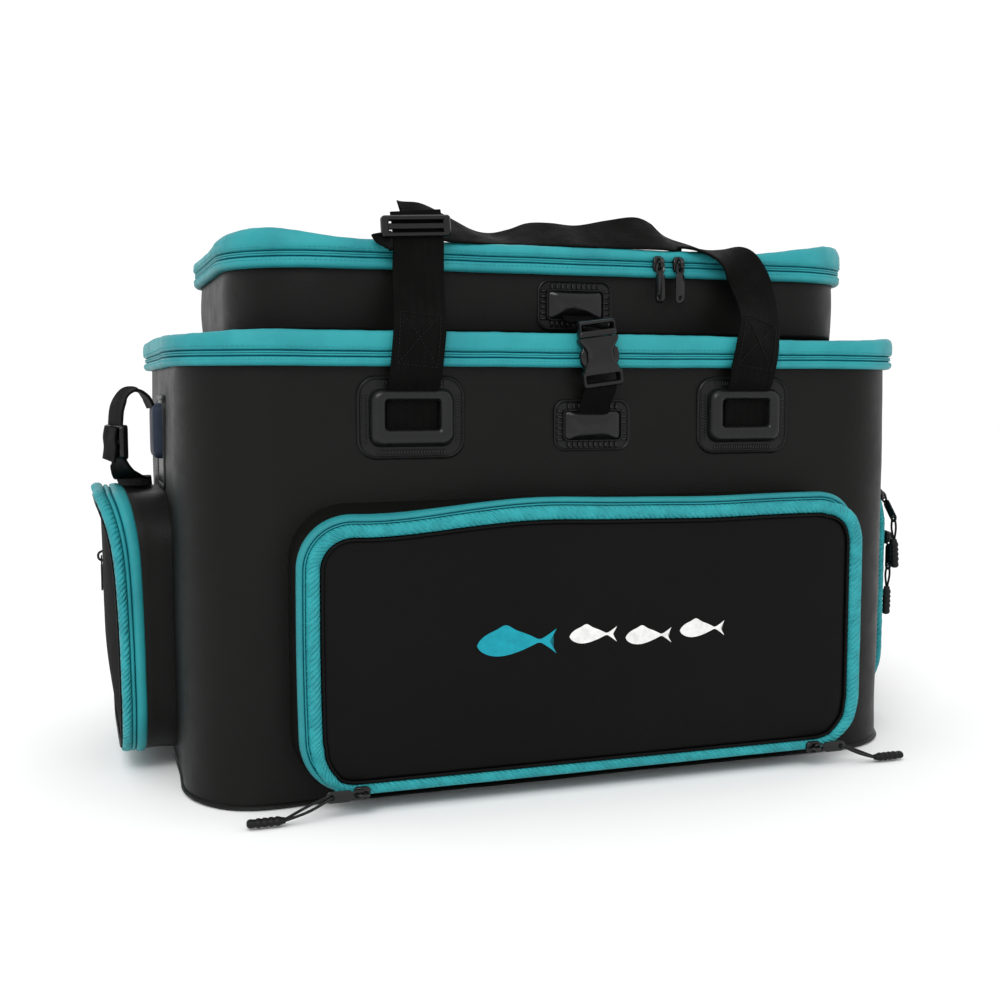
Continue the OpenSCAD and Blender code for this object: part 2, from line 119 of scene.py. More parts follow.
def sharpen(obj, degrees):
    """Keeps edges sharper than an angle crisp under smooth shading."""
    limit = math.radians(degrees)
    bm = bmesh.new()
    bm.from_mesh(obj.data)
    for edge in bm.edges:
        edge.smooth = len(edge.link_faces) != 2 or edge.calc_face_angle(0) < limit
    bm.to_mesh(obj.data)
    bm.free()
    return obj


def loft(rings, close_v=False, caps=(False, False)):
    """Points and faces over a list of closed rings with equal numbers of points."""
    rings = [np.asarray(r, float) for r in rings]
    n, m = len(rings[0]), len(rings)
    faces = []
    for j in range(m if close_v else m - 1):
        k = (j + 1) % m
        for i in range(n):
            i2 = (i + 1) % n
            faces.append((j * n + i, j * n + i2, k * n + i2, k * n + i))
    if caps[0]:
        faces.append(tuple(range(n - 1, -1, -1)))
    if caps[1]:
        faces.append(tuple((m - 1) * n + i for i in range(n)))
    return np.concatenate(rings), faces


def rect_loop(w, d, r, step=9.0, arc_steps=14):
    """Points, outward normals and running length of a rounded rectangle, from the middle of its far side."""
    points, normals = [], []

    def straight(a, b, normal):
        count = max(2, int(round(np.linalg.norm(np.subtract(b, a)) / step)))
        for i in range(count):
            points.append(np.add(a, np.multiply(np.subtract(b, a), i / count)))
            normals.append(normal)

    def arc(cx, cy, start):
        for i in range(arc_steps):
            angle = math.radians(start + 90 * i / arc_steps)
            normal = (math.cos(angle), math.sin(angle))
            points.append((cx + r * normal[0], cy + r * normal[1]))
            normals.append(normal)

    hx, hy = w / 2, d / 2
    straight((0, hy), (-hx + r, hy), (0, 1))
    arc(-hx + r, hy - r, 90)
    straight((-hx, hy - r), (-hx, -hy + r), (-1, 0))
    arc(-hx + r, -hy + r, 180)
    straight((-hx + r, -hy), (hx - r, -hy), (0, -1))
    arc(hx - r, -hy + r, 270)
    straight((hx, -hy + r), (hx, hy - r), (1, 0))
    arc(hx - r, hy - r, 0)
    straight((hx - r, hy), (0, hy), (0, 1))
    p, n = np.array(points, float), np.array(normals, float)
    gaps = np.linalg.norm(np.roll(p, -1, axis=0) - p, axis=1)
    s = np.concatenate([[0], np.cumsum(gaps)[:-1]])
    return p, n, s, gaps.sum()


def resample(p, n, s, total, pitch):
    """The same loop at an even pitch."""
    count = int(total / pitch)
    t = np.arange(count) * total / count
    sx = np.append(s, total)

    def along(v):
        return np.stack([np.interp(t, sx, np.append(v[:, k], v[0, k])) for k in range(2)], 1)

    normal = along(n)
    return along(p), normal / np.linalg.norm(normal, axis=1)[:, None], t, total


def soft(x, y, z, scale, seed=0.0):
    """Smooth noise between about -1 and 1 at points in millimetres."""
    return np.array([noise.noise(Vector((a / scale + seed, b / scale - seed, c / scale)))
                     for a, b, c in np.broadcast(x, y, z)])


def bump(x, centre, width):
    """A smooth hump of height 1."""
    return np.exp(-((np.asarray(x, float) - centre) / width) ** 2)


def smooth(points, per=6, closed=False):
    """Catmull-Rom curve through points, per steps between neighbours."""
    p = np.asarray(points, float)
    n = len(p)
    out = []
    for i in range(n if closed else n - 1):
        a, b = p[(i - 1) % n if closed else max(i - 1, 0)], p[i]
        c, d = p[(i + 1) % n], p[(i + 2) % n if closed else min(i + 2, n - 1)]
        for k in range(per):
            t = k / per
            out.append(0.5 * (2 * b + (c - a) * t + (2 * a - 5 * b + 4 * c - d) * t ** 2
                              + (3 * b - a - 3 * c + d) * t ** 3))
    if not closed:
        out.append(p[-1])
    return np.array(out)


def finish_piece(obj, body, slot_name, *nodes):
    """Attaches a piece to the body it rides on and hides the CAD nodes it stands for; slot_name is not used.
    """
    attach(obj, body)
    if nodes:
        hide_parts(*nodes)
    return obj


# ---------- materials ----------

def material(name, colour, roughness, specular, sheen=0.0):
    """A principled material and its node tree, ready for detail."""
    mat = bpy.data.materials.new(name)
    mat.use_nodes = True
    tree = mat.node_tree
    bsdf = tree.nodes["Principled BSDF"]
    bsdf.inputs["Base Color"].default_value = (*colour, 1)
    bsdf.inputs["Roughness"].default_value = roughness
    bsdf.inputs["Specular IOR Level"].default_value = specular
    bsdf.inputs["Sheen Weight"].default_value = sheen
    return mat, tree, bsdf


def add(tree, kind, **values):
    """A new node with its properties and input values set."""
    node = tree.nodes.new(kind)
    for key, value in values.items():
        if hasattr(node, key):
            setattr(node, key, value)
        else:
            node.inputs[key.replace("_", " ")].default_value = value
    return node


def coords(tree, uv=False):
    """Texture coordinates: the object's own metres, or UV in metres."""
    return add(tree, "ShaderNodeTexCoord").outputs["UV" if uv else "Object"]


def along_across(tree, at):
    """The two parts of a texture coordinate."""
    split = add(tree, "ShaderNodeSeparateXYZ")
    tree.links.new(at, split.inputs[0])
    return split.outputs[0], split.outputs[1]


def noise_node(tree, vector, scale, detail, rough=0.5):
    """The value of a noise texture."""
    node = add(tree, "ShaderNodeTexNoise", Scale=scale, Detail=detail, Roughness=rough)
    tree.links.new(vector, node.inputs["Vector"])
    return node.outputs["Fac"]


def ramp(tree, fac, stops):
    """A colour ramp from (position, colour) pairs."""
    node = add(tree, "ShaderNodeValToRGB")
    elements = node.color_ramp.elements
    while len(elements) < len(stops):
        elements.new(0.5)
    for element, (position, colour) in zip(elements, stops):
        element.position = position
        element.color = (*colour, 1)
    tree.links.new(fac, node.inputs["Fac"])
    return node.outputs["Color"]


def map_range(tree, fac, low, high, out_low, out_high):
    """A value stretched from one range to another and held inside it."""
    node = add(tree, "ShaderNodeMapRange")
    for key, value in zip(("From Min", "From Max", "To Min", "To Max"), (low, high, out_low, out_high)):
        node.inputs[key].default_value = value
    tree.links.new(fac, node.inputs["Value"])
    return node.outputs["Result"]


def maths(tree, operation, *values):
    """A maths node over sockets and numbers."""
    node = add(tree, "ShaderNodeMath", operation=operation)
    for socket, value in zip(node.inputs, values):
        if isinstance(value, (int, float)):
            socket.default_value = value
        else:
            tree.links.new(value, socket)
    return node.outputs[0]


def bump_chain(tree, bsdf, layers):
    """Bump layers, each (height socket, distance in metres, strength), in order from coarse to fine."""
    normal = None
    for height, distance, strength in layers:
        node = add(tree, "ShaderNodeBump", Strength=strength, Distance=distance)
        tree.links.new(height, node.inputs["Height"])
        if normal:
            tree.links.new(normal, node.inputs["Normal"])
        normal = node.outputs["Normal"]
    tree.links.new(normal, bsdf.inputs["Normal"])


def shade(c, k):
    """A colour made k times as bright."""
    return tuple(min(1, v * k) for v in c)


def foam_material(name, colour, rough_low, rough_high, grain, specular=0.13):
    """Coated foam: fine leather-like grain, faint smudges and a satin skin."""
    mat, tree, bsdf = material(name, colour, rough_low, specular)
    at = coords(tree)
    cells = add(tree, "ShaderNodeTexVoronoi", Scale=900.0)
    tree.links.new(at, cells.inputs["Vector"])
    fine = noise_node(tree, at, 1400.0, 2.0)
    cloud = noise_node(tree, at, 9.0, 4.0)
    smudge = noise_node(tree, at, 45.0, 5.0, 0.65)
    tree.links.new(ramp(tree, cloud, [(0.3, shade(colour, 0.86)), (0.7, shade(colour, 1.16))]),
                   bsdf.inputs["Base Color"])
    tree.links.new(map_range(tree, smudge, 0.3, 0.7, rough_low, rough_high), bsdf.inputs["Roughness"])
    bump_chain(tree, bsdf, [(cloud, 0.004, 0.12), (cells.outputs["Distance"], 0.0004, grain),
                            (fine, 0.0002, grain)])
    return mat


def sine(tree, value, pitch):
    """A wave with a pitch in metres."""
    return maths(tree, "SINE", maths(tree, "MULTIPLY", value, 2 * math.pi / pitch))


def webbing_material(name, colour):
    """Polypropylene webbing: a slanted rib weave with a selvedge, from UV in metres, coloured with painted
    shade in the weave's hollows and painted highlight on its ribs.
    """
    mat, tree, bsdf = material(name, colour, 0.62, 0.06)
    across, along = along_across(tree, coords(tree, uv=True))
    zigzag = maths(tree, "PINGPONG", across, 0.0031)
    rib = sine(tree, maths(tree, "ADD", along, maths(tree, "MULTIPLY", zigzag, 0.9)), 0.0017)
    height = maths(tree, "ADD", rib, maths(tree, "MULTIPLY", sine(tree, across, 0.0021), 0.6))
    height = map_range(tree, height, -1.6, 1.6, 0.0, 1.0)
    fuzz = noise_node(tree, coords(tree), 2600.0, 2.0)
    patchy = noise_node(tree, coords(tree), 60.0, 4.0)
    # painted shade and highlight: the colour follows the weave's height, darker in its hollows and lighter on
    # its ribs
    tree.links.new(ramp(tree, height, [(0.0, shade(colour, 0.45)), (0.6, colour), (1.0, shade(colour, 1.7))]),
                   bsdf.inputs["Base Color"])
    tree.links.new(map_range(tree, patchy, 0.3, 0.7, 0.52, 0.74), bsdf.inputs["Roughness"])
    bump_chain(tree, bsdf, [(height, 0.0005, 0.8), (fuzz, 0.0002, 0.35)])
    return mat


def band_material(name, colour, dark, gathers=0.0):
    """Coated turquoise fabric: fine weave under the coating, puckers and slight tone changes."""
    mat, tree, bsdf = material(name, colour, 0.5, 0.25, sheen=0.02)
    u, v = along_across(tree, coords(tree, uv=True))
    weave = maths(tree, "MULTIPLY", sine(tree, u, 0.0011), sine(tree, v, 0.0011))
    here = coords(tree)
    tone = noise_node(tree, here, 30.0, 4.0)
    pucker = noise_node(tree, here, 130.0, 3.0)
    fine = noise_node(tree, here, 2200.0, 2.0)
    tree.links.new(ramp(tree, tone, [(0.25, dark), (0.55, colour), (0.85, shade(colour, 1.08))]),
                   bsdf.inputs["Base Color"])
    tree.links.new(map_range(tree, pucker, 0.3, 0.7, 0.42, 0.6), bsdf.inputs["Roughness"])
    weave = map_range(tree, weave, -1, 1, 0, 1)
    layers = [(pucker, 0.0012, 0.25), (weave, 0.00018, 0.6), (fine, 0.0001, 0.3)]
    if gathers:
        slanted = maths(tree, "ADD", u, maths(tree, "MULTIPLY", v, 0.95))
        fold = sine(tree, maths(tree, "ADD", slanted, maths(tree, "MULTIPLY", tone, 0.012)), gathers)
        depth = maths(tree, "MULTIPLY", map_range(tree, fold, -1, 1, 0, 1),
                      map_range(tree, pucker, 0.35, 0.65, 0.25, 1))
        layers.insert(0, (depth, 0.0016, 0.85))
    bump_chain(tree, bsdf, layers)
    return mat


def plastic_material(name, colour, low, high, grain=0.15, specular=0.2):
    """Moulded plastic with a fine texture, faint scuffs and uneven gloss."""
    mat, tree, bsdf = material(name, colour, low, specular)
    at = coords(tree)
    grit = noise_node(tree, at, 1800.0, 2.0)
    scuff = noise_node(tree, at, 120.0, 6.0, 0.7)
    tree.links.new(map_range(tree, scuff, 0.35, 0.7, low, high), bsdf.inputs["Roughness"])
    tree.links.new(ramp(tree, scuff, [(0.3, shade(colour, 0.85)), (0.75, shade(colour, 1.25))]),
                   bsdf.inputs["Base Color"])
    bump_chain(tree, bsdf, [(scuff, 0.0003, 0.15), (grit, 0.0002, grain)])
    return mat


TURQUOISE = (0.0165, 0.268, 0.292)
TURQUOISE_DARK = (0.012, 0.205, 0.236)
FOAM = foam_material("foam", (0.0038, 0.0039, 0.0034), 0.38, 0.52, 0.35)
PANEL = foam_material("panel_foam", (0.0022, 0.0022, 0.0021), 0.38, 0.52, 0.18, specular=0.085)
SIDE_PANEL = foam_material("side_panel_foam", (0.0022, 0.0022, 0.0021), 0.70, 0.80, 0.2, specular=0.05)
BAND = band_material("band", TURQUOISE, TURQUOISE_DARK)
# painted light: the pocket flap bands are the band fabric brightened by 1.12 and 1.2, a lit copy of the same
# colour
LIT_PUCKERED = band_material("puckered_band_lit", shade(TURQUOISE, 1.12), shade(TURQUOISE_DARK, 1.2), gathers=0.0041)
# painted shade: the front pocket's zip strip is the band fabric darkened to 0.84, a shaded copy of the same
# colour
SHADED_STRIP = band_material("zip_strip_shaded", shade(TURQUOISE, 0.84), shade(TURQUOISE_DARK, 0.9))
COIL = plastic_material("coil", (0.004, 0.120, 0.165), 0.35, 0.5, 0.1)
THREAD = plastic_material("turquoise_thread", (0.016, 0.24, 0.265), 0.6, 0.75, 0.2)
BLACK_THREAD = plastic_material("black_thread", (0.006, 0.006, 0.006), 0.5, 0.65, 0.2, specular=0.12)
WEBBING = webbing_material("webbing", (0.0015, 0.0015, 0.0013))
MOULDED = plastic_material("moulded", (0.0048, 0.0050, 0.0052), 0.30, 0.46, 0.22)
GLOSSY = plastic_material("glossy", (0.0035, 0.0035, 0.0036), 0.14, 0.26, 0.05, specular=0.3)
SIDE_PLASTIC = plastic_material("side_plastic", (0.018, 0.026, 0.044), 0.5, 0.62, 0.1, specular=0.14)
FRAME = plastic_material("patch_frame", (0.0052, 0.0055, 0.0056), 0.24, 0.38, 0.18, specular=0.27)
METAL = plastic_material("black_metal", (0.004, 0.004, 0.0042), 0.16, 0.30, 0.05, specular=0.35)
RUBBER = plastic_material("rubber", (0.005, 0.005, 0.005), 0.45, 0.6, 0.2)
PRINT = plastic_material("print_white", (0.70, 0.70, 0.69), 0.5, 0.6, 0.1)
PRINT_TURQUOISE = plastic_material("print_turquoise", (0.007, 0.26, 0.33), 0.5, 0.6, 0.1, specular=0.15)


# ---------- walls, floor tray and lid panels ----------

def ring3(base, offset, z, shift=0.0):
    """A loop as 3D points, moved out by offset and up to z; both may differ from point to point."""
    p, n = base[0], base[1]
    height = np.broadcast_to(np.asarray(z, float), len(p))
    return np.column_stack([p[:, 0] + n[:, 0] * offset + shift, p[:, 1] + n[:, 1] * offset, height])


LOWER = rect_loop(BODY_W, BODY_D, CORNER_R)
UPPER = rect_loop(UPPER_W, UPPER_D, CORNER_R)


def build_wall(name, base, shift, heights, foot, seed):
    """Double foam wall with slight hand-made unevenness. foot(z, x, y) draws it in near the floor."""
    x, y = base[0][:, 0], base[0][:, 1]
    rings = []
    for z in heights:
        wave = 0.9 * soft(x, y, z, 85, seed) + 0.35 * soft(x, y, z, 28, seed + 3)
        belly = 1.6 * math.sin(math.pi * (z - heights[0]) / (heights[-1] - heights[0]))
        rings.append(ring3(base, wave + belly - foot(z, x, y), z, shift))
    inner = [ring3(base, -WALL_T - foot(z, x, y), max(z, heights[0] + WALL_T), shift)
             for z in reversed(heights)]
    return make(name, *loft(rings + inner, close_v=True), FOAM)


FOOT_H = 36.0


def foot_inset(z, x, y):
    """Near the floor the box draws in on the left and rear; its front left corner stands out square."""
    share = np.clip(1 - z / FOOT_H, 0, 1) ** 1.4
    left = 3.0 * np.clip(-x / 250, 0, 1) * np.clip((y + 140) / 60, 0, 1)
    front = -1.6 * np.clip((-y - 120) / 50, 0, 1)
    corner = -5.5 * bump(x, -254, 32) * bump(y, -163, 32)
    rear = 4.0 * np.clip((y - 100) / 70, 0, 1)
    return (left + front + corner + rear) * share


lower_heights = [0.4, 3, 6, 10, 15, 20, 26, 33, 42, 55, 70, *np.arange(88, 300, 18.0), 304, 311, 316.4]
lower_wall = build_wall("lower_wall", LOWER, 0, lower_heights, foot_inset, 0.0)
finish_piece(lower_wall, "root", "foam_shell", "lower_shell")

inset = foot_inset(0.0, LOWER[0][:, 0], LOWER[0][:, 1])
sole_edge = ((0, -14), (0, -1.5), (0.8, 0.4), (2, 2), (3.2, 1.4), (4.2, -1), (4.8, -3.5), (5, -8))
sole_rings = [ring3(LOWER, out - inset, z) for z, out in sole_edge]
sole = sharpen(make("base_tray", *loft(sole_rings, caps=(True, True)), FOAM), 50)
finish_piece(sole, "root", "foam_shell", "base_sole")


def no_foot(z, x, y):
    """The upper bag keeps its outline down to its floor."""
    return np.zeros(len(x))


upper_heights = [UPPER_LOW[2] - 2.6, 337, 341, *np.arange(347, 378, 6.0), 380, 384, 388.0]
upper_wall = build_wall("upper_wall", UPPER, SHIFT_X, upper_heights, no_foot, 5.0)
finish_piece(upper_wall, "upper_bag", "foam_shell", "upper_shell")
floor_edge = ((6, 331.4), (1.2, 331.4), (0.2, 332.4), (0.6, 334.0), (6, 334.2))
floor_rings = [ring3(UPPER, -inset, z, SHIFT_X) for inset, z in floor_edge]
upper_floor = sharpen(make("upper_floor", *loft(floor_rings, caps=(True, True)), FOAM), 50)
finish_piece(upper_floor, "upper_bag", "foam_shell", "upper_base")


def build_lid_panel(name, base, shift, low, high, dome, seed):
    """Foam lid panel: flat below, gently domed and uneven above."""
    edge = ((-3, low), (-0.6, low + 0.8), (-0.6, high - 2), (-2, high - 0.8), (-5, high - 0.1), (-10, high))
    rings = [ring3(base, out, z, shift) for out, z in edge]
    inner = ring3(base, -10, high, 0)
    for t in np.linspace(0.08, 0.97, 16):
        pts = inner * [1 - t, 1 - t, 1]
        rise = dome * (1 - (1 - t) ** 2) + 0.7 * soft(pts[:, 0], pts[:, 1], 0, 70, seed)
        rings.append(np.column_stack([pts[:, 0] + shift, pts[:, 1], high + rise * min(1, 4 * t)]))
    bottom = [ring3(base, -3, low, 0) * [s, s, 1] + [shift, 0, 0] for s in (0.05, 0.5, 0.9)]
    return make(name, *loft(bottom + rings, caps=(True, True)), PANEL)


low, high = node_box("lower_lid_panel")
finish_piece(build_lid_panel("lower_lid_foam", LOWER, 0, low[2], high[2] - 0.5, 0.2, 9.0),
             "lower_lid", "foam_panel", "lower_lid_panel")
low, high = node_box("upper_lid_panel")
finish_piece(build_lid_panel("upper_lid_foam", UPPER, SHIFT_X, low[2], high[2], 2.2, 11.0),
             "upper_lid", "foam_panel", "upper_lid_panel")


# ---------- zipper rims ----------

def sweep(name, base, profile, ring, material, index=None):
    """Sweeps a closed profile of pairs round a loop. ring(k, a, b) places a row, index picks its material."""
    rings, uvs, run = [], [], 0.0
    for k, (a, b) in enumerate(profile):
        before = profile[max(k - 1, 0)]
        run += float(np.mean(np.hypot(np.subtract(a, before[0]), np.subtract(b, before[1]))))
        rings.append(ring(k, a, b))
        uvs.append(np.column_stack([base[2], np.full(len(base[0]), run)]))
    indices = None if index is None else np.repeat(index, len(base[0]))
    return make(name, *loft(rings, close_v=True), material, np.concatenate(uvs), indices, base[3])


def build_rim(prefix, size, shift, split, below, top, bodies, nodes, rise):
    """Turquoise band, coil halves and seam stitches on both sides of a zipper's parting line."""
    base = resample(*rect_loop(*size, CORNER_R, step=4, arc_steps=26), 3.2)

    def parting(x, y):
        return 0.35 * soft(x, y, split, 42, 2.0) + 0.15 * soft(x, y, split, 15, 4.0) + split

    x, y = base[0][:, 0] + shift, base[0][:, 1]
    line = parting(x, y)
    pucker = soft(base[2], 0, split, 7.0, 6.0)
    lower = [(-0.5, -below + 0.4), (3.4, -below), (5.6, -below + 0.5), (6.9, -below + 1.8),
             (7.3, -below + 3.4), (7.1, -3.6), (6.5, -2.6), (5.0, -2.3), (-0.5, -2.3)]
    upper = [(-0.5, 2.3), (5.0, 2.3), (6.5, 2.6), (7.2, 3.8), (7.5, 6.0), (7.5, top * 0.55),
             (7.2, top * 0.75), (6.2, top - 1.6), (4.4, top - 0.3), (2.2, top + 0.1), (-0.6, top - 0.4),
             (-2.4, top - 1.8), (-2.6, top - 4.5)]

    def low_ring(k, out, z):
        push = 0.18 * pucker if 1 < k < 6 else 0.0
        return ring3(base, out + push, z + line, shift)

    def high_ring(k, out, z):
        share = np.clip((z - 5) / (top - 5), 0, 1)
        push = 0.22 * pucker + 0.4 * soft(x, y, split + k, 60, 8.0) if 2 < k < 8 else 0.0
        return ring3(base, out + push, z + line + share * (rise(x, y) + 0.3 * pucker), shift)

    root_side, lid_side = bodies
    finish_piece(sweep(prefix + "_lower_band", base, lower, low_ring, BAND), root_side, "zip_band", nodes[0])
    finish_piece(sweep(prefix + "_upper_band", base, upper, high_ring, BAND), lid_side, "zip_band", nodes[2])
    tape = [(-0.5, 0.1), (5.8, 0.1), (6.35, 0.35), (6.45, 0.9),
            (6.1, 1.35), (5.1, 1.5), (4.9, 2.5), (-0.5, 2.5)]
    for tag, side, body, replaced in (("below", -1, root_side, nodes[1:2]), ("above", 1, lid_side, ())):
        piece = sweep(f"{prefix}_tape_{tag}", base, [(out, side * z) for out, z in tape],
                      lambda k, out, z: ring3(base, out, z + line, shift), [BAND, COIL], [0] * 4 + [1] * 4)
        finish_piece(piece, body, "zip_coil", *replaced)
    path = resample(*base, 1.0)
    normals = np.column_stack([path[1], np.zeros(len(path[1]))])
    for tag, body, z, out in (("below", root_side, -4.3, 7.12), ("above", lid_side, 4.6, 7.3)):
        seam = ring3(path, out, parting(path[0][:, 0] + shift, path[0][:, 1]) + z, shift)
        stitches = stitch_row(f"{prefix}_stitches_{tag}", seam, normals, 3.6, 2.4, 0.32, THREAD)
        finish_piece(stitches, body, "zip_band")


def stitch_row(name, line, normals, pitch, length, radius, material):
    """Small thread stitches along a line of points about a millimetre apart."""
    gaps = np.linalg.norm(np.diff(line, axis=0), axis=1)
    run = np.concatenate([[0], np.cumsum(gaps)])
    verts, faces = [], []

    def sample(at, rows):
        return np.array([np.interp(at, run, rows[:, k]) for k in range(3)])

    for i in range(int(run[-1] / pitch)):
        at = (i + 0.5) * pitch
        a, b, normal = sample(at - length / 2, line), sample(at + length / 2, line), sample(at, normals)
        along = (b - a) / max(np.linalg.norm(b - a), 1e-6)
        side = np.cross(along, normal)
        start = len(verts)
        for t, r in ((0, 0.35), (0.18, 0.9), (0.5, 1.0), (0.82, 0.9), (1, 0.35)):
            centre = a + (b - a) * t + normal * (radius * 0.5 * math.sin(math.pi * t))
            for k in range(6):
                angle = math.pi * k / 3
                verts.append(centre + radius * r * (side * math.cos(angle) + normal * math.sin(angle)))
        for ring in range(4):
            for k in range(6):
                k2 = (k + 1) % 6
                faces.append((start + ring * 6 + k, start + ring * 6 + k2,
                              start + ring * 6 + 6 + k2, start + ring * 6 + 6 + k))
        faces.append(tuple(start + k for k in range(5, -1, -1)))
        faces.append(tuple(start + 24 + k for k in range(6)))
    return make(name, verts, faces, material)


def upper_hump(x, y):
    """The upper lid's band stands higher at its corners, most at the front right."""
    front = y < 0
    rear = bump(y, 130, 60)
    left = 7.5 * bump(x, SHIFT_X - 236, 42) * np.where(front, bump(y, -125, 55), rear * 0.6)
    plateau = np.clip((x - SHIFT_X - 150) / 70, 0, 1) ** 1.2
    return left + 10.0 * plateau * np.where(front, bump(y, -110, 85), rear * 0.5)


def lower_sag(x, y):
    """The lower lid's band dips a little at the front left corner and right of the middle."""
    front = np.clip(-y / 120, 0, 1)
    return -2.6 * bump(x, -284, 26) * front - 2.8 * bump(x, 190, 75) * front + 1.5 * bump(x, 285, 30) * front


build_rim("lower_rim", (BODY_W, BODY_D), 0, LOWER_SPLIT, 8.5, 16.2, ("root", "lower_lid"),
          ("lower_band", "lower_coil", "lower_lid_band"), lower_sag)
build_rim("upper_rim", (UPPER_W, UPPER_D), SHIFT_X, UPPER_SPLIT, 10.0, 11.2, ("upper_bag", "upper_lid"),
          ("upper_band", "upper_coil", "upper_lid_band"), upper_hump)


# ---------- pockets ----------

POCKET_LOW, POCKET_HIGH = node_box("front_pocket_wall")
POCKET_Z = POCKET_LOW[2]
FRONT_W, POCKET_H = POCKET_HIGH[0] - POCKET_LOW[0], POCKET_HIGH[2] - POCKET_LOW[2]
FRONT_OUT = FRONT_Y - node_box("front_flap_band")[0][1]
side_low, side_high = node_box("left_pocket_wall")
SIDE_W, SIDE_Y = side_high[1] - side_low[1], (side_high[1] + side_low[1]) / 2
SIDE_OUT = -SIDE_X - node_box("left_flap_band")[0][0]
FRONT_R, SIDE_R = 40.0, 45.0
EDGE_INSET = -0.5


def side_flare(which, z):
    """A side pocket's outer face leans out towards its top."""
    up = np.clip((np.asarray(z) - POCKET_Z) / POCKET_H, 0, 1)
    return 5.0 * up ** 2.2 + 13.0 * up ** 8 if which == "left" else 2.2 + 1.0 * up ** 2


def front_sag(a, h):
    """The front pocket's upper edge hangs lower on the left, its foot rises a little on the right."""
    up = np.clip((h - POCKET_Z) / POCKET_H, 0, 1)
    drop = 8.0 * bump(a, -168, 62) - 2.2 * bump(a, -45, 45) + 1.2 * bump(a, 90, 40)
    return -drop * up ** 2


def front_bow(a, h):
    """Its sides bow in towards the top and the foot on the left."""
    up = np.clip((h - POCKET_Z) / POCKET_H, 0, 1)
    return np.clip(-a / 220, 0, 1) ** 3 * (2.2 * up ** 2 + 4.0 * (1 - up) ** 3)


def pocket_place(which):
    """Maps (along, out, height) of a pocket onto the bag."""
    def front(a, out, h):
        share = np.clip(np.asarray(out) / FRONT_OUT, 0, 1)
        return np.column_stack([a + front_bow(a, h) * share, FRONT_Y - out, h + front_sag(a, h) * share])

    def side(a, out, h):
        way = -1 if which == "left" else 1
        reach = SIDE_X + out + side_flare(which, h) * np.clip(out / SIDE_OUT, 0, 1)
        return np.column_stack([way * reach, SIDE_Y + way * a, h])

    return front if which == "front" else side


def pocket_ring(base, place, inset, out):
    """A ring of the pocket's outline, moved in by inset and out by out."""
    p = base[0] - base[1] * np.reshape(inset, (-1, 1))
    return place(p[:, 0], np.broadcast_to(out, len(p)), POCKET_Z + POCKET_H / 2 + p[:, 1])


def zip_part(height):
    """0 along the hinge at the foot, 1 where the zipper runs."""
    return np.clip((height - 4) / 26, 0, 1) ** 0.6


